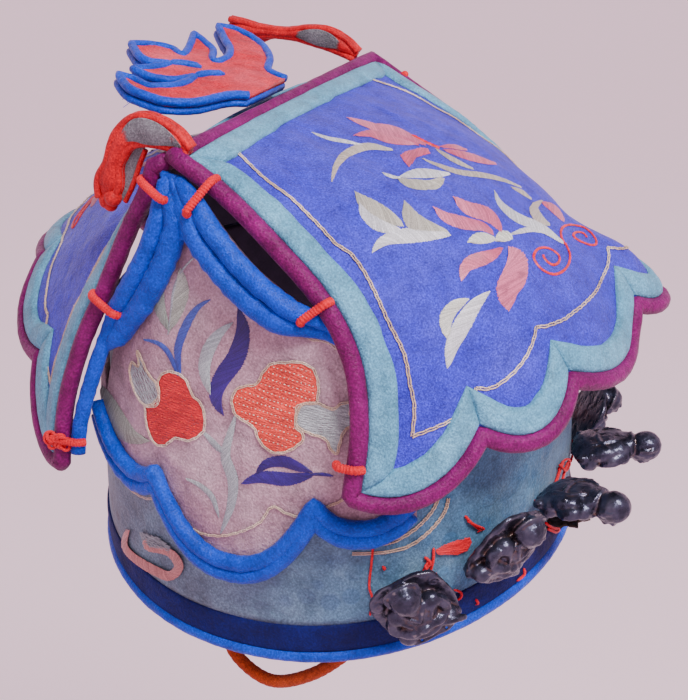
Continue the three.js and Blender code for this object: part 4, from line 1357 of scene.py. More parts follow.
def make_tie(name, way, label, share):
    """A bar wrapped in thread that goes over the roof's binding and the gable's edging."""
    side = SIDES[name]
    roof = roofs[way]
    edge = roof.plain(1, share)
    edge.x *= side
    along = (share - EDGING_TOP) / (EDGING_ENDS[way] - EDGING_TOP)
    spot, _, radius, _ = edging_stop(way, side, min(1, along))
    out = Vector((side, 0, 0.25)).normalized()
    lift = TIE_THICKNESS / 2 + 0.1
    first = edge + out * (BINDING / 2 + lift)
    inside = first + Vector((0, -roof.way * BINDING / 2, 0))
    last = inside if along > 1 else spot + out * (radius + lift)
    across = (last - first).normalized()
    foot, shoulder = across * (TIE_REACH - 0.4), across * 1.2
    path = curve_through([
        first - foot - out * 2.6, first - shoulder - out * 0.3, first.lerp(last, 0.5),
        last + shoulder - out * 0.3, last + foot - out * 2.6,
    ], TIE_STEPS)
    turns = path_length(path) / WRAP_TURN
    points, faces, uvs = tube(path, [out] * len(path), TIE_THICKNESS / 2 * 1.25, TIE_SIDES)
    for i, centre in enumerate(path):
        for k in range(TIE_SIDES):
            phase = 2 * math.pi * (turns * i / TIE_STEPS) + 2 * math.pi * k / TIE_SIDES
            index = i * TIE_SIDES + k
            furrow = 1 - WRAP_DEPTH + WRAP_DEPTH * abs(math.sin(phase / 2))
            points[index] = centre.lerp(points[index], furrow)
    make_piece(f"{name}_{way}_wrap_{label}", points, faces, red_thread,
               [f"{name}_{way}_tie_{label}"], uvs=uvs)


for name in SIDES:
    for way in roofs:
        for label, share in zip(TIE_NAMES, TIE_SHARES):
            make_tie(name, way, label, share)

# Threads and stitches


SPUN_TWIST, SPUN_DEPTH, SPUN_SIDES, SPUN_END = 0.9, 0.2, 10, 0.35
SPUN_PER_MM, SPUN_LEAST, SPUN_DRAFT = 5, 8, 24


def spun(path, outs, radius):
    """A two-ply thread: a tube whose ridges turn round it once in each twist of length."""
    count = len(path)
    span = path_length(path)

    def size(share):
        return radius * (SPUN_END + (1 - SPUN_END) * smooth(min(share, 1 - share) * span / radius))

    points, faces, uvs = tube(path, outs, size, SPUN_SIDES)
    for i, centre in enumerate(path):
        for k in range(SPUN_SIDES):
            phase = math.pi * span * i / (count - 1) / SPUN_TWIST + math.pi * k / SPUN_SIDES
            index = i * SPUN_SIDES + k
            furrow = 1 - SPUN_DEPTH + SPUN_DEPTH * abs(math.sin(phase))
            points[index] = centre.lerp(points[index], furrow)
    return points, faces, uvs


def laid_out(surface, pairs, draft, least, per_mm):
    """Even stops along coordinates of a surface, and the length of the line there."""
    flat = [(a, b, 0) for a, b in pairs]
    length = path_length([surface.over(p.x, p.y, 0) for p in curve_through(flat, draft)])
    return curve_through(flat, max(least, int(length * per_mm))), length


def thread_over(surface, pairs, height, radius, bulge):
    """A spun thread along coordinates of a surface; bulge lifts its middle."""
    flat, _ = laid_out(surface, pairs, SPUN_DRAFT, SPUN_LEAST, SPUN_PER_MM)
    last = len(flat) - 1
    path = [surface.over(p.x, p.y, height + bulge * math.sin(math.pi * i / last))
            for i, p in enumerate(flat)]
    outs = [surface.normal(p.x, p.y) for p in flat]
    return spun(path, outs, radius)


COUCHED_SIDES, COUCHED_PER_MM, COUCHED_LEAST, COUCHED_DRAFT = 5, 2.2, 12, 8
COUCHED_WANDER, COUCHED_WANDER_STEP = 0.09, 0.9
# A catch over the threads: how low its ends and how high its middle are, and its radius
CATCH_LOW, CATCH_HIGH, CATCH_SIZE = 0.8, 1.5, 0.8


def double_thread(surface, pairs, height, radius, gap, catch_every=2.6):
    """Two threads laid side by side and held down by small catches across them."""
    flat, length = laid_out(surface, pairs, COUCHED_DRAFT * len(pairs), COUCHED_LEAST, COUCHED_PER_MM)
    path = [surface.over(p.x, p.y, height) for p in flat]
    outs = [surface.normal(p.x, p.y) for p in flat]
    count = len(path)
    across = []
    for i, out in enumerate(outs):
        along = path[min(count - 1, i + 1)] - path[max(0, i - 1)]
        across.append(along.cross(out).normalized())
    shapes = []
    for hand in (-1, 1):
        line = []
        for i, spot in enumerate(path):
            wander = COUCHED_WANDER * math.sin(COUCHED_WANDER_STEP * i + 2 * hand)
            line.append(spot + across[i] * hand * (gap / 2 + wander))
        shapes.append(tube(line, outs, radius, COUCHED_SIDES))
    catches = max(1, int(length / catch_every))
    for k in range(catches):
        i = min(count - 1, int((k + 0.5) * count / catches))
        out = outs[i]
        over = [path[i] + across[i] * hand * (gap / 2 + radius) - out * radius * CATCH_LOW
                for hand in (-1, 1)]
        over.insert(1, path[i] + out * radius * CATCH_HIGH)
        shapes.append(tube(over, [out] * 3, radius * CATCH_SIZE, COUCHED_SIDES))
    return gather(shapes)


TONE_SPREAD = 0.26
STITCH_EDGE, STITCH_LIFT, STITCH_LEAST, STITCH_HEIGHT = 0.02, 0.12, 0.3, 0.9
# Petals: distance between stitches, their slant, how far their ends stray and spill over
PETAL_PITCH, PETAL_SLANT, PETAL_JAG, PETAL_SPILL = 0.25, 0.34, 0.35, 0.05
PETAL_RADIUS, PETAL_BLUNT, PETAL_POINT = 0.17, 0.14, 0.75
GROUND_ACROSS, GROUND_SWELL, GROUND_SHADE = 2, 0.85, 0.6
# Long stitches: shift from row to row, length at the left edge, and how uneven they are
BRICK_SHIFT, BRICK_ROWS, FIRST_REACH, REACH_SPREAD = 5, 12, 0.25, 0.15
SEED_LENGTH, SEED_MARGIN, SEED_EVERY = 2.2, 3, 1.9
# Stem stitch: how far on the next thread starts and how far each thread reaches
STEM_STEP, STEM_REACH = 0.45, 2.2


def part_way(spots, share):
    """The place at a share of the way through a list of spots."""
    place = clamp(share) * (len(spots) - 1)
    i = min(len(spots) - 2, int(place))
    return spots[i].lerp(spots[i + 1], place - i)


class Needlework:
    """Satin stitches on one cloth face. turn takes coordinates to the same design elsewhere."""

    def __init__(self, surface, seen, start, turn=None):
        self.surface = surface
        self.seen = seen
        self.start = start
        self.turn = turn or (lambda a, b: (a, b))
        self.points, self.faces, self.colours = [], [], []
        self.random = random.Random(7)

    def spot(self, pixel, start=None):
        return self.seen.under_pixel(pixel, start or self.start)

    def stitch(self, a, b, colour, radius=0.2, puff=0.25):
        """One stitch between two pairs of coordinates: a low ridge from end to end."""
        middle = [(a[k] + b[k]) / 2 for k in (0, 1)]
        tone = 1 + self.random.uniform(-TONE_SPREAD, TONE_SPREAD)
        dye = [channel * tone for channel in colour]
        normal = self.surface.normal(*self.turn(*middle))
        lifts = (STITCH_EDGE, STITCH_LIFT + puff, STITCH_EDGE)
        stops = [self.surface.place(*self.turn(*pair)) + normal * (ROOF_WALL / 2 + lift)
                 for pair, lift in zip((a, middle, b), lifts)]
        if (stops[2] - stops[0]).length < STITCH_LEAST:
            return
        across = (stops[2] - stops[0]).cross(normal).normalized()
        base = len(self.points)
        for stop in stops:
            self.points += [stop - across * radius, stop + normal * radius * STITCH_HEIGHT,
                            stop + across * radius]
            self.colours += [dye] * 3
        for i in (0, 1):
            k = base + 3 * i
            self.faces += [(k, k + 3, k + 4, k + 1), (k + 1, k + 4, k + 5, k + 2)]

    def petal(self, spine, width, dyes, blunt=False):
        """A leaf or petal: slanted stitches across a spine that is given in pixels."""
        flat = [(x, y, 0) for x, y in spine]
        line = curve_through(flat, max(8, int(path_length([Vector(p) for p in flat]) / 4)))
        last = len(line) - 1
        rails = ([], [])
        near = self.spot(line[0])
        for i, centre in enumerate(line):
            way = (line[min(last, i + 1)] - line[max(0, i - 1)]).normalized()
            share = i / last
            swell = math.sin(math.pi * share) ** PETAL_POINT
            if blunt:
                swell = math.sin(math.pi * mix(PETAL_BLUNT, 1 - PETAL_BLUNT, share))
            for hand, rail in zip((-1, 1), rails):
                pixel = (centre.x - way.y * width * swell * hand, centre.y + way.x * width * swell * hand)
                rail.append(self.spot(pixel, near))
            near = (rails[0][-1] + rails[1][-1]) / 2
        puff = 0.1 + 0.03 * width
        self.ground(rails, dyes, puff)
        length = path_length([self.surface.place(*self.turn(*(a + b) / 2)) for a, b in zip(*rails)])
        reach = width * PETAL_SLANT / max(1.0, length)
        count = max(4, int(length / PETAL_PITCH))
        for k in range(count + 1):
            share = k / count
            jag = self.random.uniform(-PETAL_JAG, PETAL_JAG) / count
            a = part_way(rails[0], share - reach + jag)
            b = part_way(rails[1], share + reach + jag)
            spill = self.random.uniform(0.0, PETAL_SPILL)
            a, b = a.lerp(b, -spill), b.lerp(a, -spill)
            dye = [mix(dyes[0][c], dyes[1][c], share) for c in range(3)]
            self.stitch(a, b, dye, radius=PETAL_RADIUS, puff=puff)

    def ground(self, rails, dyes, puff):
        """A low swell of floss under a petal's stitches, darkened as painted shade between them."""
        base = len(self.points)
        last = len(rails[0]) - 1
        for i, (a, b) in enumerate(zip(*rails)):
            middle = (a + b) / 2
            normal = self.surface.normal(*self.turn(*middle))
            for k in range(GROUND_ACROSS + 1):
                t = k / GROUND_ACROSS
                swell = (1 - abs(2 * t - 1)) * math.sin(math.pi * i / last)
                lift = 0.03 + GROUND_SWELL * (0.1 + puff) * swell
                spot = self.surface.place(*self.turn(*a.lerp(b, t)))
                self.points.append(spot + normal * (ROOF_WALL / 2 + lift))
                # The ground is painted darker than the stitches, as shade between them
                self.colours.append([GROUND_SHADE * mix(dyes[0][c], dyes[1][c], i / last) for c in range(3)])
        self.faces += grid_faces(last + 1, GROUND_ACROSS + 1, base)

    def rows_inside(self, outline, way, first, pitch, end):
        """Spans of rows across an outline given in pixels; way is the rows' angle in the picture,
        and first and end are how far inside its edges they start and stop."""
        c, s = math.cos(way), math.sin(way)
        turned = [(x * c + y * s, y * c - x * s) for x, y in outline]
        q = min(y for _, y in turned) + first
        high = max(y for _, y in turned) - end
        row = 0
        while q < high:
            cuts = sorted(xa + (xb - xa) * (q - ya) / (yb - ya)
                          for (xa, ya), (xb, yb) in zip(turned, turned[1:] + turned[:1])
                          if (ya - q) * (yb - q) < 0)
            for left, right in zip(cuts[::2], cuts[1::2]):
                yield row, left, right, lambda x: (x * c - q * s, x * s + q * c)
            q += pitch
            row += 1

    def fill(self, outline, way, dye, reach=13.0, pitch=1.05):
        """Long stitches side by side inside an outline; reach is their length in pixels."""
        near = self.spot(outline[0])
        for row, left, right, pixel in self.rows_inside(outline, way, pitch / 2, pitch, 0):
            marks = [left]
            step = reach * ((row * BRICK_SHIFT / BRICK_ROWS) % 1 + FIRST_REACH)
            while marks[-1] + step < right - 2:
                marks.append(marks[-1] + step)
                step = reach * self.random.uniform(1 - REACH_SPREAD, 1 + REACH_SPREAD)
            marks.append(right)
            spots = [self.spot(pixel(x), near) for x in marks]
            near = spots[0]
            for a, b in zip(spots, spots[1:]):
                self.stitch(a, b, dye, puff=0.2)

    def seeds(self, outline, way, dye, every=6.5):
        """Rows of tiny pale stitches inside an outline."""
        near = self.spot(outline[0])
        for _, left, right, pixel in self.rows_inside(outline, way, every, every, every / 2):
            x = left + SEED_MARGIN
            while x + SEED_LENGTH < right - SEED_MARGIN:
                ends = [self.spot(pixel(e), near) for e in (x, x + SEED_LENGTH)]
                near = ends[0]
                self.stitch(ends[0], ends[1], dye, radius=0.16, puff=0.42)
                x += SEED_LENGTH * SEED_EVERY

    def line(self, pixels, radius, dye, length=2.4):
        """Stem stitch: short threads that overlap along a line."""
        flat = [(x, y, 0) for x, y in pixels]
        dots = curve_through(flat, max(6, int(path_length([Vector(p) for p in flat]) / 2)))
        near = self.spot(dots[0])
        spots = []
        for dot in dots:
            near = self.spot(dot, near)
            spots.append(near)
        places = [self.surface.place(*self.turn(*spot)) for spot in spots]
        run = path_length(places)
        count = max(2, int(run / (length * STEM_STEP)))
        for k in range(count):
            ends = [part_way(spots, k / count), part_way(spots, (k + STEM_REACH) / count)]
            self.stitch(*ends, dye, radius=radius, puff=0.16)

    def pairs(self, pixels):
        """Coordinates under a list of pixels, turned to this face."""
        near = None
        found = []
        for pixel in pixels:
            near = self.spot(pixel, near)
            found.append(self.turn(*near))
        return found

    def finish(self, name, slot):
        make_piece(name, self.points, self.faces, floss, colours=self.colours, closed=False)


# Floss colours: at the start and at the end of a shape's spine
PINK = ((0.56, 0.16, 0.26), (0.42, 0.08, 0.16))
ROSE = ((0.42, 0.06, 0.13), (0.55, 0.16, 0.25))
PALE = ((0.40, 0.40, 0.46), (0.54, 0.54, 0.58))
ASH = ((0.30, 0.28, 0.26), (0.40, 0.38, 0.33))
BUD = ((0.42, 0.42, 0.40), (0.52, 0.52, 0.48))
SAND = ((0.34, 0.28, 0.25), (0.40, 0.36, 0.33))
SAGE = ((0.26, 0.30, 0.26), (0.36, 0.40, 0.35))
SMOKE = ((0.24, 0.28, 0.31), (0.33, 0.37, 0.39))
MOSS = ((0.20, 0.25, 0.22), (0.32, 0.35, 0.30))
VIOLET = ((0.014, 0.002, 0.09), (0.032, 0.01, 0.18))
LILAC = ((0.035, 0.012, 0.22), (0.016, 0.004, 0.12))
BLUE = ((0.02, 0.04, 0.30), (0.05, 0.09, 0.38))
RED = (0.58, 0.012, 0.022)
CORAL = (0.68, 0.05, 0.035)
CREAM = (0.70, 0.50, 0.40)

# Roof design: shapes as colours, half width and spine in the photograph's pixels
ROOF_PETALS = [
    (ASH, 8, [(354, 194), (360, 202), (374, 212), (392, 222), (402, 228)]),
    (ASH, 9, [(403, 203), (409, 219), (422, 230), (449, 237)]),
    (PALE, 6, [(358, 203), (365, 217), (380, 228), (400, 233)]),
    (PALE, 7, [(371, 254), (380, 244), (400, 238), (449, 237)]),
    (PALE, 1.5, [(381, 175), (390, 179), (400, 181)]),
    (PALE, 4.5, [(397, 180), (412, 176), (428, 176), (449, 177)]),
    (ASH, 5, [(396, 181), (410, 186), (428, 187), (441, 180)]),
    (ASH, 3, [(424, 190), (436, 188), (443, 181)]),
    (PINK, 6, [(432, 209), (446, 220), (466, 226), (482, 229), (492, 237)]),
    (PINK, 7, [(452, 199), (466, 210), (484, 216), (494, 224), (500, 234)]),
    (ROSE, 7, [(501, 250), (490, 257), (470, 264), (463, 270), (460, 282)]),
    (PINK, 12, [(507, 249), (516, 262), (512, 280), (505, 292), (507, 312)]),
    (BUD, 5.5, [(466, 244), (478, 240), (494, 242)]),
    (BUD, 5.5, [(494, 243), (502, 238), (511, 241)]),
    (PALE, 4.5, [(493, 193), (499, 206), (516, 220), (540, 230), (562, 246)]),
    (PALE, 2.5, [(507, 237), (520, 233), (534, 232), (546, 236)]),
    (SAND, 4.5, [(541, 203), (532, 209), (536, 219), (548, 228)]),
    (ROSE, 3.6, [(539, 204), (548, 208), (556, 215), (562, 224)]),
    (SAND, 2.6, [(421, 161), (436, 167), (456, 174), (484, 178), (504, 183), (520, 190)]),
    (SAND, 2.2, [(434, 151), (450, 161), (472, 172)]),
    (SAND, 2, [(509, 189), (520, 194), (530, 202)]),
    (BUD, 6.5, [(446, 340), (444, 322), (452, 308), (467, 300)]),
    (PALE, 8, [(446, 368), (451, 345), (463, 322), (474, 306), (488, 293)]),
    (PINK, 3.6, [(346, 120), (372, 129), (395, 138), (418, 148)]),
    (ROSE, 4.2, [(353, 138), (370, 136), (390, 142), (414, 147)]),
    (PINK, 3.4, [(376, 126), (398, 134), (425, 148)]),
    (ROSE, 3.6, [(442, 152), (458, 156), (478, 162), (495, 167)]),
    (ROSE, 2.2, [(438, 149), (452, 149), (466, 153)]),
    (SAND, 4, [(331, 184), (336, 167), (348, 155), (368, 149), (392, 153)]),
    (PALE, 1.8, [(311, 135), (328, 141), (345, 144), (362, 148)]),
]
ROOF_LOZENGE = [
    (399, 158), (404, 154), (420, 150), (427, 151), (429, 156), (415, 160), (408, 170), (403, 164),
]
ROOF_RED_STROKE = [(411, 138), (424, 145), (438, 151)]
ROOF_CURLS = [
    [(563, 247), (559, 238), (560, 230), (568, 227), (582, 230), (592, 238), (595, 246), (588, 247),
     (577, 243), (571, 238), (574, 234), (582, 236), (585, 240)],
    [(563, 245), (568, 258), (564, 270), (553, 276), (541, 272), (533, 263), (532, 256), (538, 250),
     (548, 251), (557, 258), (557, 264), (551, 267), (543, 262), (541, 257)],
]

# Pale double thread on the roof, from the ridge's right end to the middle of the eave
ROOF_COUCHED_SIDE = [
    (233, 153), (262, 180), (300, 210), (332, 243), (352, 258), (372, 290), (386, 320), (402, 352),
    (408, 380), (413, 405), (411, 436),
]
ROOF_COUCHED_EAVE = [
    [(411, 436), (432, 428), (450, 420), (464, 412), (470, 402), (474, 388)],
    [(474, 388), (490, 388), (508, 376), (522, 360), (530, 344), (534, 328)],
    [(534, 328), (544, 327), (556, 323), (568, 316)],
]


ROOF_COUCHING = (ROOF_WALL / 2 + 0.3, 0.21, 0.62)
GABLE_COUCHING = (GABLE_WALL / 2 + 0.42, 0.17, 0.46, 2.2)
BAND_COUCHING = (0.3, 0.23, 0.66)


def make_couching(name, surface, lines, sizes):
    """Double threads along lines of coordinates; sizes are height, radius, gap and catch distance."""
    points, faces, uvs = gather([double_thread(surface, line, *sizes) for line in lines])
    make_piece(name, points, faces, pale_thread, uvs=uvs)


LOZENGE_WAY, LOZENGE_REACH = math.radians(-60), 20
STROKE_RADIUS, CURL_RADIUS, CURL_THREAD = 0.55, 0.4, 1.9
# How far the couched line dips where its two halves meet, and stops along the ridge
COUCHED_DIP, COUCHED_RIDGE_STOPS = 0.008, 8
CALYX_REACH, SPARSE_SEEDS = 16, 9.0


def make_roof_needlework(side):
    """The roof's flowers, curls and couched line; the back panel has them in reverse."""
    front = roofs["front"]
    turn = None if side == "front" else (lambda u, v: (-u, v))
    work = Needlework(roofs[side], front, (-0.3, 0.6), turn)
    for dyes, width, spine in ROOF_PETALS:
        work.petal(spine, width, dyes)
    work.fill(ROOF_LOZENGE, LOZENGE_WAY, ROSE[0], reach=LOZENGE_REACH)
    work.line(ROOF_RED_STROKE, STROKE_RADIUS, RED)
    for curl in ROOF_CURLS:
        work.line(curl, CURL_RADIUS, RED, CURL_THREAD)
    work.finish(f"{side}_roof_needlework", "roof_satin")
    lines = []
    sides = work.pairs(ROOF_COUCHED_SIDE)
    scallops = [work.pairs(line) for line in ROOF_COUCHED_EAVE]
    top = sides[0]
    for hand in (1, -1):
        for line in [sides] + scallops[:-1]:
            lines.append([(hand * u, v) for u, v in line])
    middle = scallops[-1]
    lines.append(middle + [(0, middle[-1][1] + COUCHED_DIP)] + [(-u, v) for u, v in reversed(middle)])
    lines.append([(mix(top[0], -top[0], t), top[1]) for t in steps(COUCHED_RIDGE_STOPS)])
    target = roofs[side]
    lines = [[(target.own(u) if u > 0 else u, v) for u, v in line] for line in lines]
    make_couching(f"{side}_roof_couching", target, lines, ROOF_COUCHING)


for side in roofs:
    make_roof_needlework(side)

# Gable design
GABLE_PETALS = [
    (MOSS, 6, [(171, 331), (162, 308), (161, 284), (172, 266), (181, 258)]),
    (SAGE, 7, [(172, 330), (179, 308), (184, 288), (182, 268)]),
    (SMOKE, 1.2, [(170, 334), (173, 310), (176, 288), (184, 270), (196, 257)]),
    (BLUE, 4, [(182, 376), (180, 350), (188, 325), (200, 307), (212, 299)]),
    (BLUE, 2.4, [(180, 376), (172, 355), (161, 343), (146, 339)]),
    (SMOKE, 6, [(234, 322), (220, 334), (209, 352), (206, 372), (212, 394)]),
    (VIOLET, 9, [(239, 307), (244, 328), (238, 355), (222, 380), (217, 398), (225, 414)]),
    (VIOLET, 5.5, [(257, 472), (266, 463), (284, 460), (300, 466), (313, 471)]),
    (LILAC, 6.5, [(243, 482), (262, 476), (290, 478), (316, 473)]),
    (VIOLET, 1.6, [(311, 473), (322, 473), (333, 475)]),
    (SMOKE, 5, [(222, 532), (232, 505), (234, 478), (227, 455), (231, 435), (238, 412)]),
    (SMOKE, 3, [(229, 456), (216, 443), (204, 430)]),
    (SMOKE, 2.6, [(220, 516), (214, 497), (204, 486), (188, 477)]),
    (MOSS, 9, [(105, 385), (111, 402), (120, 421), (134, 436), (152, 440)]),
]
# Outlines and couched lines on the gable, in the photograph's pixels
FRUITS = [
    [(148, 405), (149, 420), (152, 432), (158, 442), (167, 444), (178, 437), (192, 439), (205, 430),
     (207, 417), (203, 402), (195, 394), (189, 380), (178, 372), (167, 372), (161, 380), (162, 393),
     (156, 402)],
    [(233, 400), (237, 413), (246, 420), (255, 426), (260, 438), (268, 447), (278, 451), (292, 448),
     (303, 440), (304, 433), (297, 425), (298, 412), (305, 402), (317, 400), (319, 382), (314, 368),
     (302, 361), (288, 361), (273, 363), (264, 372), (258, 383), (243, 386), (236, 391)],
]
CALYXES = [
    [(162, 393), (160, 403), (150, 405), (142, 398), (137, 388), (133, 372), (135, 362), (142, 366),
     (140, 350), (146, 362), (152, 374), (159, 383)],
    [(297, 412), (300, 404), (318, 402), (332, 408), (343, 402), (357, 402), (350, 412), (358, 424),
     (345, 429), (337, 451), (330, 446), (325, 437), (308, 431), (298, 424)],
]
FRUIT_WAY, CALYX_WAYS = math.radians(18), (math.radians(65), math.radians(8))
GABLE_COUCHED = [
    [(118, 445), (121, 462), (126, 478), (135, 489), (146, 496), (156, 497), (163, 491), (170, 491)],
    [(170, 491), (173, 504), (184, 518), (200, 530), (222, 534), (244, 529), (262, 520), (270, 508),
     (276, 504)],
    [(276, 504), (288, 512), (303, 514), (322, 507), (345, 497)],
    [(192, 232), (215, 265), (245, 295), (262, 315)],
    [(262, 315), (280, 318), (300, 330), (312, 338), (328, 341), (346, 354)],
]


def make_gable_needlework(name):
    """A gable's two fruits, its leaves and its couched lines."""
    work = Needlework(gables[name], gables["right"], (-10.0, 70.0))
    for dyes, width, spine in GABLE_PETALS:
        work.petal(spine, width, dyes)
    for outline in FRUITS:
        work.fill(outline, FRUIT_WAY, RED if outline is FRUITS[0] else CORAL)
    work.seeds(FRUITS[1], FRUIT_WAY, CREAM)
    work.seeds(FRUITS[0], FRUIT_WAY, CORAL, SPARSE_SEEDS)
    for outline, way in zip(CALYXES, CALYX_WAYS):
        work.fill(outline, way, SMOKE[1], reach=CALYX_REACH)
    work.finish(f"{name}_gable_needlework", "gable_silk")
    lines = [work.pairs(line) for line in GABLE_COUCHED]
    lines += [work.pairs(outline + outline[:1]) for outline in FRUITS + CALYXES]
    make_couching(f"{name}_gable_couching", gables[name], lines, GABLE_COUCHING)


for name in SIDES:
    make_gable_needlework(name)

# Band design: two arcs before the eave's corner and a cloud behind it
BAND_START = (-0.6, 35.0)
BAND_ARCS = [
    [(352, 553), (385, 552), (410, 545), (430, 530), (444, 512), (448, 498)],
    [(357, 545), (388, 543), (413, 530), (431, 512), (438, 498)],
]
CLOUD = [
    (130, 529), (127, 545), (138, 558), (158, 570), (172, 575), (181, 565), (171, 551), (150, 547),
    (147, 538),
]
CLOUD_WIDTH, CLOUD_DYES = 4.5, ((0.42, 0.16, 0.16), (0.46, 0.2, 0.19))
CLOUD_CORE = [(142, 531), (146, 545), (168, 549), (174, 556), (172, 545), (160, 536)]
CLOUD_WAY = 0.5


def band_work(name, start):
    """Needlework on the band's side; the left side mirrors the right one."""
    turn = None if name == "right" else (lambda angle, z: (math.pi - angle, z))
    return Needlework(band, band, start, turn)


def make_band_needlework(name):
    """The cloud and the two couched arcs on one side of the band."""
    work = band_work(name, BAND_START)
    work.fill(CLOUD_CORE, CLOUD_WAY, SMOKE[0], reach=9)
    work.petal(CLOUD, CLOUD_WIDTH, CLOUD_DYES, blunt=True)
    work.finish(f"{name}_band_needlework", "band_silk")
    lines = [work.pairs(arc) for arc in BAND_ARCS]
    make_couching(f"{name}_band_couching", band, lines, BAND_COUCHING)


for name in SIDES:
    make_band_needlework(name)

# Flame crest, by the same outline as the part's source
FLAME_LENGTH, FLAME_SPREAD, FLAME_SHIFT = 46, 79, -9
FLAME_FELT, FLAME_BACKING, FLAME_SLOPE = 1.6, 2, 0.18
FLAME_OUTLINE = [
    (0.16, 0), (0.2, 0.16), (0.34, 0.27), (0.46, 0.42), (0.52, 0.58), (0.54, 0.74), (0.51, 0.84),
    (0.4, 0.69), (0.3, 0.55), (0.18, 0.46), (0.1, 0.47), (0.13, 0.53), (0.21, 0.6), (0.26, 0.71),
    (0.31, 0.85),
    (0.16, 0.74), (0.04, 0.68), (0.07, 0.79), (0.04, 0.92), (-0.03, 1), (-0.12, 0.85), (-0.15, 0.74),
    (-0.11, 0.63), (-0.19, 0.66), (-0.28, 0.72), (-0.29, 0.58), (-0.24, 0.46), (-0.15, 0.4),
    (-0.28, 0.4), (-0.38, 0.49), (-0.37, 0.62), (-0.38, 0.72), (-0.46, 0.56), (-0.47, 0.41), (-0.46, 0.28),
    (-0.37, 0.15), (-0.21, 0.08), (-0.15, 0),
]
FLAME_TIPS = [6, 14, 19, 24, 31]
FLAME_PIPE = 1.3
# Pipings that run on from the notches into the felt, as shares of the flame's spread and length
FLAME_FOLDS = [
    [(-0.15, 0.4), (-0.08, 0.36), (-0.02, 0.30)],
    [(-0.11, 0.63), (-0.06, 0.55), (-0.03, 0.46)],
]
FLAME_CELL, FLAME_ROUNDS = 2.4, 3
FELT_LEVEL = FLAME_BACKING + CLEARANCE
FRAY_COUNT, FRAY_RADIUS, FRAY_STEPS = 16, 0.09, 9
FLAME_BASE = Vector((0, RIDGE_BACK, RIDGE_HEIGHT + (BINDING + CLEARANCE) / 2))
flame_turn = Matrix.Rotation(math.atan(FLAME_SLOPE), 3, "X")
flame_up = flame_turn @ Vector((0, 0, 1))


def flame_flat(shares):
    """Places on the flame's flat plan from shares of its spread and length."""
    return [(a * FLAME_SPREAD + FLAME_SHIFT, b * FLAME_LENGTH, 0) for a, b in shares]


def flame_spot(across, back, height):
    """A point over the flame's plate; the plate swells and curls a little."""
    curl = 1.6 * (back / FLAME_LENGTH) ** 2 + 0.5 * ripple((across, back, 0), 15, 2.2)
    return FLAME_BASE + flame_turn @ Vector((across, back, height + max(-0.4, curl)))


def flame_edge():
    """The outline in millimetres, rounded between the tongues' tips."""
    corners = flame_flat(FLAME_OUTLINE)
    marks = [0] + FLAME_TIPS + [len(corners) - 1]
    edge = []
    for start, end in zip(marks, marks[1:]):
        line = curve_through(corners[start:end + 1], 10 * (end - start))
        edge += line if end == marks[-1] else line[:-1]
    return edge


def make_flame_plate(name, foot, thickness, material, replaced, fuzz):
    """A plate of the flame's outline, with a top face that fuzz makes uneven."""
    edge = flame_edge()
    net = bmesh.new()
    ring = [net.verts.new((p.x, p.y, 0)) for p in edge]
    bmesh.ops.triangle_fill(net, use_beauty=True, use_dissolve=False,
                            edges=[net.edges.new((a, b)) for a, b in zip(ring, ring[1:] + ring[:1])])
    for _ in range(FLAME_ROUNDS):
        long_edges = [e for e in net.edges if not e.is_boundary and e.calc_length() > FLAME_CELL]
        bmesh.ops.subdivide_edges(net, edges=long_edges, cuts=1)
        bmesh.ops.triangulate(net, faces=net.faces)
    net.verts.index_update()
    flat = [v.co.copy() for v in net.verts]
    cells = [tuple(v.index for v in face.verts) for face in net.faces]
    rim = [(e.verts[0].index, e.verts[1].index) for e in net.edges if e.is_boundary]
    net.free()
    count = len(flat)
    top = [flame_spot(p.x, p.y, foot + thickness + fuzz * ripple(p, 3.5, 6.1)) for p in flat]
    bottom = [flame_spot(p.x, p.y, foot) for p in flat]
    faces = cells + [tuple(count + k for k in reversed(cell)) for cell in cells]
    faces += [(a, b, count + b, count + a) for a, b in rim]
    make_piece(name, top + bottom, faces, material, [replaced])


def fold_size(share):
    """Radius of a piping in the felt, thinner towards its ends."""
    return FLAME_PIPE * (0.45 + 0.55 * smooth(6 * min(share, 1 - share)))


def make_flame():
    """The felt on its backing, with pipings round both and in the notches."""
    make_flame_plate("flame_back_cloth", 0, FLAME_BACKING, royal_silk, "flame_backing", 0.1)
    make_flame_plate("flame_felt_cloth", FELT_LEVEL, FLAME_FELT, felt_cloth, "flame_felt", 0.35)
    felt_top = FELT_LEVEL + FLAME_FELT
    edge = flame_edge()
    shapes = []
    for lift, shift, radius in ((felt_top - 0.2, 0, FLAME_PIPE), (FLAME_PIPE * 0.8, 0.4, FLAME_PIPE * 0.9)):
        path = [flame_spot(p.x, p.y + shift, lift) for p in edge]
        shapes.append(tube(path, [flame_up] * len(path), radius, 12, crumple=0.08, seed=lift))
    for fold in FLAME_FOLDS:
        path = [flame_spot(p.x, p.y, felt_top + 0.1) for p in curve_through(flame_flat(fold), 40)]
        shapes.append(tube(path, [flame_up] * len(path), fold_size, 12, crumple=0.06, seed=3.1))
    points, faces, uvs = gather(shapes)
    make_piece("flame_piping", points, faces, royal_silk, uvs=uvs)


make_flame()


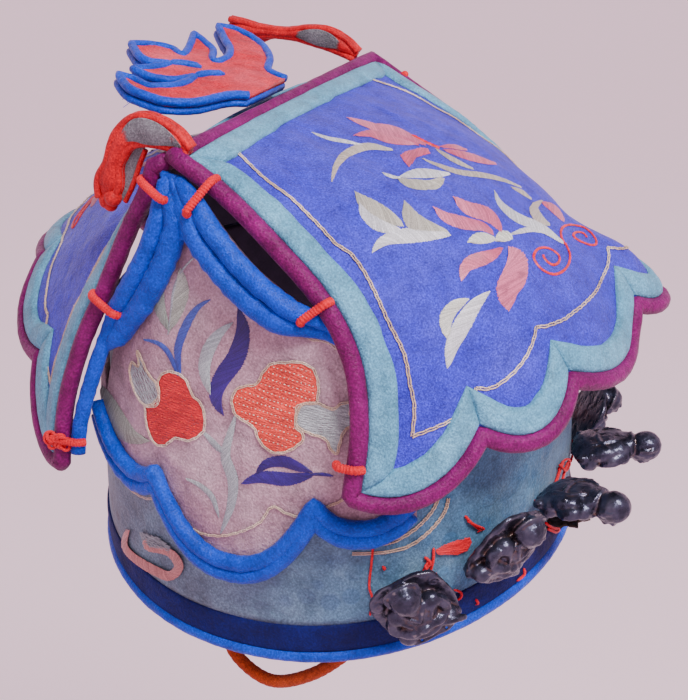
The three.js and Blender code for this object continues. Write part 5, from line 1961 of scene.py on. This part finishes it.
def make_frayed_ends():
    """Loose fibres where the flame's backing has worn through."""
    chance = random.Random(11)
    shapes = []
    for _ in range(FRAY_COUNT):
        across = chance.uniform(-0.49, -0.44) * FLAME_SPREAD + FLAME_SHIFT
        back = chance.uniform(0.36, 0.56) * FLAME_LENGTH
        start = flame_spot(across, back, 1.2)
        way = Vector((chance.uniform(-0.6, -1.0), chance.uniform(-0.2, 0.9), chance.uniform(-0.5, 0.7)))
        way.normalize()
        bend = Vector([chance.uniform(-1, 1) for _ in range(3)])
        reach = chance.uniform(1.2, 3.4)
        middle, end = start + way * reach * 0.5 + bend * 0.3, start + way * reach + bend * 0.5
        path = curve_through([start, middle, end], FRAY_STEPS)
        shapes.append(tube(path, [Vector((0.1, 0.2, 1))] * len(path), FRAY_RADIUS, 4))
    points, faces, uvs = gather(shapes)
    make_piece("flame_fray", points, faces, royal_silk, uvs=uvs)


make_frayed_ends()

# Ridge horns: stuffed leaves on edge with pipings along both edges and a ribbed insert
HORN_LENGTH, HORN_HEIGHT, HORN_THICKNESS, HORN_INSET = 50, 9, 5, 3
HORN_STEPS, HORN_SIDES = 80, 24
# Run, rise and half height along each horn, as shares of its length and height
HORN_ROWS = {
    "right": [
        (-0.12, -0.02, 0.2), (-0.03, 0.03, 0.4), (0.08, 0.06, 0.5), (0.19, 0.06, 0.54), (0.285, 0.0, 0.46),
        (0.345, -0.1, 0.4), (0.385, -0.21, 0.36), (0.415, -0.3, 0.5), (0.42, -0.35, 0.4),
    ],
    "left": [
        (0.03, -0.02, 0.3), (0.14, 0.04, 0.42), (0.26, 0.08, 0.46), (0.42, 0.095, 0.4), (0.58, 0.09, 0.28),
        (0.72, 0.09, 0.24), (0.84, 0.085, 0.3), (0.94, 0.09, 0.44), (1.02, 0.1, 0.46),
    ],
}
HORN_INSERT_SPAN = {"right": (0.06, 0.56), "left": (0.1, 0.5)}
HORN_PIPE = 1.1
HORN_FOLD = [(0.94, 0.12), (0.84, 0.09), (0.77, 0.085), (0.7, 0.11), (0.62, 0.13)]
HORN_STRAP = [(0.16, 0.0), (0.2, -0.08), (0.25, -0.2), (0.31, -0.31)]
FOLD_STEPS, STRAP_STEPS, WEB_STEPS = 24, 40, 4
# Wraps at the right horn's foot: place from the foot and size
FOOT_WRAPS = [((-0.5, -1.4, 0.4), 2.6), ((0.3, 1.2, -0.9), 2.4), ((0, -0.2, -1.8), 2.1)]
INSERT_RIBS, INSERT_RIB_HEIGHT, INSERT_DOME, INSERT_SEAT = 9, 0.16, 0.7, 0.86


def horn_line(x, shares, base, count):
    """A smooth line over the ridge from shares of a horn's length."""
    return curve_through([(x, RIDGE_BACK + run * HORN_LENGTH, base + rise * HORN_LENGTH)
                          for run, rise in shares], count)


def wrap_shape(centre, size, seed):
    """A round wrap of cloth."""
    line = [centre + Vector((0, 0, size * (t * 2 - 1))) for t in steps(14)]
    return tube(line, [Vector((1, 0, 0))] * len(line),
                lambda share: size * math.sqrt(max(0.02, 1 - (2 * share - 1) ** 2)), PIPE_SIDES,
                crumple=0.12, seed=seed)


def make_horn(name):
    """A ridge horn: its stuffed body, its pipings and its ribbed insert on both faces."""
    side = SIDES[name]
    x = side * (RIDGE_LENGTH / 2 - HORN_INSET)
    rows = HORN_ROWS[name]
    line = horn_line(x, [row[:2] for row in rows], RIDGE_HEIGHT + BINDING / 2, HORN_STEPS)
    table = [(i / (len(rows) - 1), row[2]) for i, row in enumerate(rows)]
    last = len(line) - 1
    halves = [read_smooth(table, i / last, 1) * HORN_HEIGHT for i in range(last + 1)]
    ups = []
    for i in range(last + 1):
        way = (line[min(last, i + 1)] - line[max(0, i - 1)]).normalized()
        ups.append(Vector((1, 0, 0)).cross(way).normalized())
    sides = HORN_SIDES
    points = []
    for i, centre in enumerate(line):
        tip = smooth(8 * i / last) * smooth(8 * (1 - i / last))
        for k in range(sides):
            angle = 2 * math.pi * k / sides
            high, wide = math.cos(angle), math.sin(angle)
            pinch = 1 - 0.25 * abs(high) ** 6
            crumple = 1 + 0.05 * ripple((centre.y, centre.z, 4 * angle), 3.0, 2.4)
            half = mix(0.55, 1, tip)
            points.append(centre + ups[i] * high * (halves[i] - HORN_PIPE * 0.6) * half * crumple
                          + Vector((wide * HORN_THICKNESS / 2 * pinch * half * crumple, 0, 0)))
    faces = grid_faces(last + 1, sides)
    for i in range(last):
        a, b = i * sides, (i + 1) * sides
        faces.append((a + sides - 1, b + sides - 1, b, a))
    faces += [tuple(reversed(range(sides))), tuple(last * sides + k for k in range(sides))]
    piece = make_piece(f"{name}_horn_body", points, faces, red_silk, [f"{name}_ridge_horn"])
    shapes = []
    out_side = Vector((1, 0, 0.1))
    for hand in (-1, 1):
        for shift in (-1, 1):
            aside = Vector((shift * HORN_PIPE * 0.85, 0, 0))
            path = [centre + ups[i] * hand * (halves[i] - HORN_PIPE) + aside
                    for i, centre in enumerate(line)]
            shapes.append(tube(path, [out_side] * len(path), HORN_PIPE, 12, crumple=0.09, seed=shift + hand))
    if name == "right":
        foot = line[-1] - ups[-1] * 0.5
        for k, (away, size) in enumerate(FOOT_WRAPS):
            shapes.append(wrap_shape(foot + Vector(away), size, k))
        strap = horn_line(x, HORN_STRAP, RIDGE_HEIGHT, STRAP_STEPS)
        shapes.append(tube(strap, [out_side] * len(strap), HORN_PIPE * 0.7, 10, crumple=0.1))
        leg = line[last * 2 // 5:]
        web = []
        for i, spot in enumerate(strap):
            far = leg[i * (len(leg) - 1) // STRAP_STEPS]
            web += [spot.lerp(far, t) + Vector((0.5 * math.sin(math.pi * t), 0, 0))
                    for t in steps(WEB_STEPS)]
        make_piece("right_horn_web", web, grid_faces(len(strap), WEB_STEPS + 1), grey_silk,
                   closed=False)
    else:
        fold = horn_line(x, HORN_FOLD, RIDGE_HEIGHT, FOLD_STEPS)
        shapes.append(tube(fold, [out_side] * len(fold), HORN_PIPE * 1.2, 12, crumple=0.12))
    made, skins, uvs = gather(shapes)
    make_piece(f"{name}_horn_piping", made, skins, red_silk, uvs=uvs)
    first, end = (int(share * last) for share in HORN_INSERT_SPAN[name])
    across = 4 * INSERT_RIBS
    for hand, word, replaced in ((-1, "outer", [f"{name}_horn_insert"]), (1, "inner", [])):
        spots = []
        for i in range(first, end + 1):
            share = (i - first) / (end - first)
            half = (halves[i] - 1.15 * HORN_PIPE) * (math.sin(math.pi * share) ** 0.6) + 0.1
            for k in range(across + 1):
                level = 2 * k / across - 1
                rib = INSERT_RIB_HEIGHT * abs(math.sin(math.pi * INSERT_RIBS * level))
                dome = INSERT_DOME * (1 - level * level)
                out = HORN_THICKNESS / 2 * INSERT_SEAT + rib + dome * math.sin(math.pi * share)
                spots.append(line[i] + ups[i] * level * half + Vector((hand * out, 0, 0)))
        skin = grid_faces(end - first + 1, across + 1)
        make_piece(f"{name}_horn_insert_{word}", spots, skin, grey_silk, replaced,
                   closed=False)


for name in SIDES:
    make_horn(name)

# Figures: stamped silver plaques in high relief. The plan is given once, in each plaque's own
# millimetres: across it, up it, and out from the band
FIGURE_LIFTS, FIGURE_TURNS, FIGURE_TIPS = [12, 26, 42], [38, 59, 79], [18, 26, 80]
FIGURE_ROLLS = [-32, 18, -6]
PLATE_HALF, PLATE_TOP, PLATE_WALL = 11.4, 25.5, 1.5
PLATE_SIDES, PLATE_POWER, PLATE_UNEVEN = 48, 2 / 3.4, 0.05


def both_sides(lines):
    """Each line of places followed by its mirror across the plaque."""
    return [[(hand * x, y, z) for x, y, z in line] for line in lines for hand in (1, -1)]


# Rounded masses: centre and radii. Those away from the middle line come in pairs
FIGURE_LUMPS = [
    ((0, 5.2, 3.0), (9.6, 4.8, 3.5)), ((-6.6, 4.8, 4.2), (3.4, 3.1, 3.1)),
    ((0, 12.4, 3.7), (6.6, 7.0, 3.9)), ((0, 9.2, 5.2), (4.6, 3.4, 3.2)),
    ((-4.8, 15.6, 4.0), (3.4, 2.9, 2.9)), ((0, 18.2, 4.6), (2.6, 2.4, 2.6)),
    ((0, 22.4, 4.8), (4.6, 5.0, 4.5)), ((-4.4, 21.8, 4.4), (0.9, 1.8, 1.0)),
    ((0, 22.0, 9.1), (0.6, 1.1, 0.7)), ((-1.9, 20.9, 8.1), (1.1, 1.0, 0.8)),
    ((0, 19.4, 8.5), (1.0, 0.35, 0.5)), ((0, 18.5, 7.6), (1.4, 0.8, 0.9)),
    ((0, 9.6, 8.0), (2.0, 1.3, 1.3)),
]
BACK_LUMPS = [
    ((0, 6.0, 2.6), (10.0, 6.2, 3.6)), ((0, 12.5, 2.6), (8.2, 7.4, 3.9)),
    ((0, 17.0, 3.0), (6.2, 3.4, 3.6)), ((0, 23.2, 4.0), (5.0, 5.2, 4.9)),
    ((-6.5, 10.0, 2.2), (3.2, 5.0, 2.6)),
]
# Arms, robe edges and folds: radius and lines
FIGURE_FOLDS = [
    (2.1, both_sides([[(-7.4, 15.0, 4.0), (-8.0, 12.0, 4.3), (-7.2, 9.2, 4.8)]])),
    (1.7, both_sides([[(-7.2, 9.2, 5.0), (-4.6, 9.0, 6.4), (-1.6, 9.6, 7.4)]])),
    (0.55, both_sides([[(-3.6, 18.4, 6.0), (-2.0, 16.0, 7.4), (0, 13.2, 7.9)]])),
    (0.5, both_sides([[(-5.6, 17.2, 5.6), (-4.4, 14.2, 7.0), (-3.0, 11.6, 7.6)]])),
    (0.5, [[(-2.4, 23.4, 8.6), (0, 23.0, 9.1), (2.4, 23.4, 8.6)]]),
    (0.6, [[(-5.4, 21.0, 3.6), (-4.6, 25.4, 3.8), (0, 27.2, 4.0), (4.6, 25.4, 3.8), (5.4, 21.0, 3.6)]]),
    (0.9, [[(-6.4, 7.2, 6.2), (0, 6.4, 7.7), (6.4, 7.2, 6.2)]]),
    (1.1, [[(-4.6, 7.0, 6.8), (-8.2, 4.6, 6.4), (-10.4, 1.8, 5.0)]]),
    (0.45, [[(-9.0, 6.0, 5.4), (-5.4, 2.6, 6.4), (0, 1.6, 6.0), (5.4, 2.6, 6.4), (9.0, 6.0, 5.4)]]),
    (0.4, both_sides([[(-7.6, 8.4, 6.2), (-9.3, 12.0, 5.8), (-8.4, 15.8, 5.4)]])),
]
BACK_FOLDS = [
    (0.6, [[(-5.0, 18.6, 3.4), (-3.4, 19.0, 0.6), (0, 19.2, -0.7), (3.4, 19.0, 0.6), (5.0, 18.6, 3.4)]]),
    (0.45, [[(-8.4, 12.0, 0.2), (-4.0, 9.4, -1.0), (0, 8.6, -1.3), (4.0, 9.4, -1.0), (8.4, 12.0, 0.2)],
            [(-4.6, 16.0, -0.4), (-5.4, 12.0, -0.8), (-5.0, 7.0, -0.6)]]),
    (0.4, [[(3.0, 16.0, -0.8), (4.6, 12.0, -0.9), (5.2, 6.0, -0.6)]]),
]
ROSETTES = [((9.0, 8.6), 1.7), ((-9.2, 19.4), 1.5), ((8.6, 20.0), 1.5)]
# Lotus petals along the foot: count, how far they reach across, and radii
FOOT_PETALS, FOOT_REACH, FOOT_RADII = 8, 9.0, (1.35, 1.9, 1.5)
LUMP_RINGS, LUMP_SIDES = 8, 12
FOLD_STOPS = 14


def lump(centre, radii):
    """A closed egg shape."""
    rings, sides = LUMP_RINGS, LUMP_SIDES
    points = [Vector(centre) + Vector((0, 0, -radii[2]))]
    for i in range(1, rings):
        level = math.pi * i / rings
        for k in range(sides):
            angle = 2 * math.pi * k / sides
            points.append(Vector((centre[0] + radii[0] * math.sin(level) * math.cos(angle),
                                  centre[1] + radii[1] * math.sin(level) * math.sin(angle),
                                  centre[2] - radii[2] * math.cos(level))))
    points.append(Vector(centre) + Vector((0, 0, radii[2])))
    top = len(points) - 1
    faces = [(0, 1 + (k + 1) % sides, 1 + k) for k in range(sides)]
    for i in range(rings - 2):
        a, b = 1 + i * sides, 1 + (i + 1) * sides
        faces += [(a + k, a + (k + 1) % sides, b + (k + 1) % sides, b + k) for k in range(sides)]
    base = 1 + (rings - 2) * sides
    faces += [(top, base + k, base + (k + 1) % sides) for k in range(sides)]
    return points, faces, []


def prism(outline, thickness):
    """A flat plate of an outline: points and faces."""
    count = len(outline)
    points = [Vector((a, b, level)) for level in (0.0, thickness) for a, b in outline]
    faces = [tuple(reversed(range(count))), tuple(range(count, 2 * count))]
    faces += [(k, (k + 1) % count, count + (k + 1) % count, count + k) for k in range(count)]
    return points, faces, []


def fold_radius(radius):
    return lambda share: radius * (0.55 + 0.45 * math.sqrt(math.sin(math.pi * mix(0.06, 0.94, share))))


def figure_shapes(seed, whole):
    """Overlapping shapes of one figure. A whole one has a modelled back, the others a back plate."""
    chance = random.Random(seed)

    def near(value, spread):
        return tuple(v + chance.uniform(-spread, spread) for v in value)

    shapes = []
    for centre, radii in FIGURE_LUMPS + (BACK_LUMPS if whole else []):
        for (place,) in both_sides([[centre]])[:2 if centre[0] else 1]:
            shapes.append(lump(near(place, 0.35), radii))
    for radius, lines in FIGURE_FOLDS + (BACK_FOLDS if whole else []):
        for line in lines:
            path = curve_through([near(p, 0.2) for p in line], FOLD_STOPS)
            shapes.append(tube(path, [Vector((0.1, 0.2, 1))] * len(path), fold_radius(radius), 10))
    for k in range(FOOT_PETALS):
        across = mix(-FOOT_REACH, FOOT_REACH, k / (FOOT_PETALS - 1))
        shapes.append(lump((across, 1.4 + 0.02 * across ** 2, 2.5), FOOT_RADII))
    if whole:
        return shapes
    for (across, up), radius in ROSETTES:
        turns = [2 * math.pi * t for t in steps(16)[:-1]]
        ring = [Vector((across + radius * math.cos(turn), up + radius * math.sin(turn), PLATE_WALL + 0.3))
                for turn in turns]
        shapes.append(tube(ring, [Vector((0, 0, 1))] * len(ring), 0.5, 8, closed=True))
        shapes.append(lump((across, up, PLATE_WALL), (0.7, 0.7, 0.9)))
    outline = []
    for i in range(PLATE_SIDES):
        angle = 2 * math.pi * i / PLATE_SIDES
        c, s = math.cos(angle), math.sin(angle)
        bulge = 1 + PLATE_UNEVEN * noise.noise(Vector((2 * c, 2 * s, seed)))
        outline.append((math.copysign(abs(c) ** PLATE_POWER, c) * PLATE_HALF * bulge,
                        PLATE_TOP / 2 + math.copysign(abs(s) ** PLATE_POWER, s) * PLATE_TOP / 2 * bulge))
    shapes.append(prism(outline, PLATE_WALL))
    return shapes


def fused(name, shapes, voxel, rounds):
    """One skin round overlapping shapes, in their own millimetres: points and faces."""
    points, faces, _ = gather(shapes)
    mesh = bpy.data.meshes.new(name)
    mesh.from_pydata([tuple(p) for p in points], [], faces)
    holder = bpy.data.objects.new(name, mesh)
    bpy.context.collection.objects.link(holder)
    remesh = holder.modifiers.new("skin", "REMESH")
    remesh.mode = "VOXEL"
    remesh.voxel_size = voxel
    soften = holder.modifiers.new("soften", "SMOOTH")
    soften.factor = 0.5
    soften.iterations = rounds
    skin = holder.evaluated_get(bpy.context.evaluated_depsgraph_get()).to_mesh()
    made = [v.co.copy() for v in skin.vertices]
    cells = [tuple(polygon.vertices) for polygon in skin.polygons]
    bpy.data.objects.remove(holder)
    bpy.data.meshes.remove(mesh)
    return made, cells


def brow_spot(angle, lift):
    """A place on the brow, the way across there and the way out."""
    grow = -BAND_SET_IN - band_lean(lift)
    place = oval_point(angle, grow, lift)
    across = (oval_point(angle + 0.02, grow, lift) - oval_point(angle - 0.02, grow, lift)).normalized()
    return place, across, Vector((0, 0, 1)).cross(across).normalized()


def seat_frame(angle, lift, tip, gap):
    """Where a plate stands on the brow: its seat, and its ways across, up and ahead."""
    place, across, out = brow_spot(angle, lift)
    lean = math.radians(tip)
    up = Vector((0, 0, math.cos(lean))) + out * math.sin(lean)
    ahead = out * math.cos(lean) - Vector((0, 0, math.sin(lean)))
    return place + out * gap, across, up, ahead


FIGURE_VOXEL, FIGURE_ROUNDS = 0.42, 4


def make_figure(side, index):
    """One silver figure; the last of a side is whole and stands away from the band."""
    whole = index == len(FIGURE_TURNS) - 1
    turn = FIGURE_TURNS[index]
    angle = math.radians(-turn if side == "right" else turn - 180)
    gap = CLEARANCE + (BORDER_PROUD if index == 0 else 0)
    seat, across, up, ahead = seat_frame(angle, FIGURE_LIFTS[index], FIGURE_TIPS[index], gap)
    seed = 3 + index + (10 if side == "left" else 0)
    hand = 1 if side == "right" else -1
    skin, cells = fused(f"{side}_plan_{index}", figure_shapes(seed, whole), FIGURE_VOXEL, FIGURE_ROUNDS)
    roll = math.radians(FIGURE_ROLLS[index] * hand)
    c, s = math.cos(roll), math.sin(roll)
    middle = PLATE_TOP / 2 + 0.5
    points = []
    for p in skin:
        dent = 0.22 * ripple(p, 3.2, seed) + 0.1 * ripple(p, 1.2, seed + 0.5)
        a, b, d = p.x, p.y - middle, p.z + dent
        a, b = a * c - b * s, a * s + b * c
        height = max(0.0, b + middle)
        points.append(seat + across * a + up * height + ahead * (d if whole else max(0.0, d)))
    make_piece(f"{side}_figure_cast_{index + 1}", points, cells, silver,
               [f"{side}_figure_{index + 1}"])


for side in SIDES:
    for index in range(len(FIGURE_TURNS)):
        make_figure(side, index)

# Dark torn tags
TAG_TURNS = {"upper": -97, "lower": -84}
TAG_LIFTS = {"upper": 74, "lower": 27}
TAG_TIP, TAG_LENGTH, TAG_WIDTH, TAG_THICKNESS = 78, 13, 12, 1.2
TAG_OUTLINE = [
    (-0.3, 0), (-0.5, 0.4), (-0.42, 0.45), (-0.5, 0.8), (-0.2, 0.72), (0, 1), (0.14, 0.74), (0.5, 0.86),
    (0.36, 0.5), (0.5, 0.42), (0.3, 0),
]


TAG_VOXEL, TAG_ROUNDS = 0.3, 1


def make_tag(name):
    """A torn tag, bent and nicked along its edge."""
    turn = math.radians(TAG_TURNS[name])
    seat, across, up, ahead = seat_frame(turn, TAG_LIFTS[name], TAG_TIP, 2 * CLEARANCE)
    outline = []
    for (a0, b0), (a1, b1) in zip(TAG_OUTLINE, TAG_OUTLINE[1:] + TAG_OUTLINE[:1]):
        for t in steps(6)[:-1]:
            nick = 0.35 * ripple((a0 * 9, b0 * 9, t * 8), 1.1, 0.4)
            outline.append((mix(a0, a1, t) * TAG_WIDTH + nick, max(0.0, mix(b0, b1, t) * TAG_LENGTH + nick)))
    skin, cells = fused(f"{name}_tag_plan", [prism(outline, TAG_THICKNESS)], TAG_VOXEL, TAG_ROUNDS)
    placed = []
    for p in skin:
        bent = 0.5 * ripple((p.x, p.y, 0), 5.0, 1.9) + 0.2 * ripple(p, 1.3, 8.8)
        placed.append(seat + across * p.x + up * p.y - ahead * (p.z + bent) * 0.9)
    make_piece(f"brow_tag_{name}_metal", placed, cells, dark_metal, [f"brow_tag_{name}"])


for name in TAG_TURNS:
    make_tag(name)

# Red sewing threads round the figures: pixels, height over the band, radius
RED_THREADS = [
    ([(373, 545), (371, 565), (369, 585), (372, 598), (370, 615)], 0.5, 0.75),
    ([(433, 547), (432, 558), (430, 570)], 0.8, 0.9),
    ([(424, 556), (429, 562), (422, 570)], 0.8, 1.0),
    ([(428, 560), (424, 566), (430, 572), (436, 572)], 1.0, 0.8),
    ([(464, 515), (470, 522), (480, 530)], 0.8, 0.9),
    ([(466, 520), (474, 524), (482, 528), (476, 531)], 1.1, 0.8),
    ([(450, 600), (457, 597), (458, 590), (452, 588)], 1.6, 0.8),
    ([(474, 598), (476, 602), (474, 604)], 1.0, 0.9),
    ([(514, 580), (519, 574), (521, 567)], 1.6, 0.9),
    ([(550, 492), (553, 480), (558, 468), (562, 460)], 1.0, 1.1),
    ([(553, 492), (557, 480), (562, 467), (566, 460)], 1.5, 1.0),
    ([(556, 470), (560, 461), (565, 459), (567, 466)], 1.2, 0.8),
    ([(556, 464), (561, 470), (567, 463)], 1.7, 0.8),
    ([(533, 500), (538, 502), (543, 505)], 0.8, 0.9),
    ([(543, 522), (549, 527), (555, 527), (560, 523)], 1.2, 1.0),
    ([(545, 528), (551, 531), (557, 529)], 1.4, 0.9),
    ([(382, 565), (384, 567), (383, 569)], 0.8, 1.0),
]
# Threads that start beyond this pixel are near the middle of the brow and are made once
MIDDLE_PIXEL = 535
BROW_START = (-0.9, 35.0)
THREAD_HEIGHT, THREAD_RADIUS, THREAD_BULGE = 0.6, 0.5, 0.5
TONGUE = [
    (434, 549), (442, 544), (456, 539), (468, 536), (470, 541), (466, 549), (456, 553), (444, 553),
    (436, 553),
]
TONGUE_WAY, TONGUE_REACH, TONGUE_PITCHES = math.radians(-8), 40, (1.0, 1.2)


def make_red_threads(name):
    """The sewing threads round the figures and the red tongue on one side of the brow."""
    work = band_work(name, BROW_START)
    shapes = []
    for pixels, height, radius in RED_THREADS:
        if name == "right" or pixels[0][0] < MIDDLE_PIXEL:
            shapes.append(thread_over(band, work.pairs(pixels), height * THREAD_HEIGHT,
                                      radius * THREAD_RADIUS, height * THREAD_BULGE))
    points, faces, uvs = gather(shapes)
    make_piece(f"{name}_brow_threads", points, faces, red_thread, uvs=uvs)
    for pitch in TONGUE_PITCHES:
        work.fill(TONGUE, TONGUE_WAY, RED, reach=TONGUE_REACH, pitch=pitch)
    work.finish(f"{name}_brow_tongue", "red_thread")


for name in SIDES:
    make_red_threads(name)

KNOT_LOOPS, KNOT_STEPS, KNOT_THREAD = 9, 22, 0.5


def make_knots(name):
    """Knots at a back corner, where the roof's corner and the gable's edging are tied."""
    side = SIDES[name]
    roof = roofs["back"]
    corner = roof.plain(1, TIE_SHARES[2])
    centre = Vector((side * (corner.x + BINDING / 2 + 0.6), corner.y, corner.z))
    chance = random.Random(5)
    shapes = []
    for _ in range(KNOT_LOOPS):
        angle = chance.uniform(0, 2 * math.pi)
        shift = Vector((side * chance.uniform(0, 0.9), chance.uniform(-4.5, 3.0), chance.uniform(-1.6, 1.6)))
        size = chance.uniform(0.9, 1.7)
        one = Vector((side * 0.25, math.cos(angle), math.sin(angle))).normalized() * size
        two = Vector((side * 0.6, -math.sin(angle), math.cos(angle))).normalized() * size * 0.8
        turns = [2 * math.pi * t for t in steps(KNOT_STEPS)[:-1]]
        ring = [centre + shift + one * math.cos(turn) + two * math.sin(turn) for turn in turns]
        shapes.append(tube(ring, [Vector((side, 0, 0))] * KNOT_STEPS, KNOT_THREAD, 8, closed=True))
    points, faces, uvs = gather(shapes)
    make_piece(f"{name}_corner_knots", points, faces, red_thread, uvs=uvs)


for name in SIDES:
    make_knots(name)

# Stage and light, in metres
STAGE_LEVEL, STAGE_FLAT, STAGE_BEND, STAGE_TOP, STAGE_SIDES = -0.4, 2.2, 0.8, 2.6, 64
STAGE_COLOUR, STAGE_GLOW, STAGE_GLOW_POWER = (0.52, 0.375, 0.44, 1), (1.0, 0.74, 0.85, 1), 0.72
LIGHT_TARGET = Vector((0, 0, 0.07))
# Name, azimuth, elevation, distance, size, power and colour
LIGHTS = [
    ("key_light", -30, 54, 1.3, 0.5, 34, (1.0, 0.97, 0.97)),
    ("fill_light", -100, 28, 1.6, 1.2, 3, (0.97, 0.95, 1.0)),
    ("back_light", 140, 40, 1.6, 1.0, 2.0, (1.0, 0.96, 0.98)),
]


def make_stage():
    """A round floor that bends up into a wall."""
    material, _, shader = new_material("studio_paper", 0.9)
    shader.inputs["Base Color"].default_value = STAGE_COLOUR
    shader.inputs["Emission Color"].default_value = STAGE_GLOW
    shader.inputs["Emission Strength"].default_value = STAGE_GLOW_POWER
    profile = [(0.02, STAGE_LEVEL), (STAGE_FLAT, STAGE_LEVEL)]
    profile += [(STAGE_FLAT + STAGE_BEND * math.sin(t * math.pi / 2),
                 STAGE_LEVEL + STAGE_BEND * (1 - math.cos(t * math.pi / 2))) for t in steps(12)[1:]]
    profile.append((STAGE_FLAT + STAGE_BEND, STAGE_TOP))
    points = []
    for i in range(STAGE_SIDES):
        turn = 2 * math.pi * i / STAGE_SIDES
        points += [(run * math.cos(turn), run * math.sin(turn), z) for run, z in profile]
    mesh = bpy.data.meshes.new("studio_bowl")
    mesh.from_pydata(points, [], grid_faces(STAGE_SIDES, len(profile), around=True))
    mesh.materials.append(material)
    mesh.polygons.foreach_set("use_smooth", [True] * len(mesh.polygons))
    stage = bpy.data.objects.new("studio_bowl", mesh)
    bpy.context.collection.objects.link(stage)


make_stage()


def add_light(name, azimuth, elevation, distance, size, power, colour):
    data = bpy.data.lights.new(name, "AREA")
    data.size = size
    data.energy = power
    data.color = colour
    light = bpy.data.objects.new(name, data)
    a, e = math.radians(azimuth), math.radians(elevation)
    way = Vector((math.sin(a) * math.cos(e), -math.cos(a) * math.cos(e), math.sin(e)))
    light.location = way * distance + LIGHT_TARGET
    light.rotation_euler = way.to_track_quat("Z", "Y").to_euler()
    bpy.context.collection.objects.link(light)


for light_row in LIGHTS:
    add_light(*light_row)

world = bpy.data.worlds.new("studio_air")
bpy.context.scene.world = world
world.use_nodes = True
air = world.node_tree.nodes["Background"]
air.inputs["Color"].default_value = (0.86, 0.80, 0.83, 1)
air.inputs["Strength"].default_value = 0.03
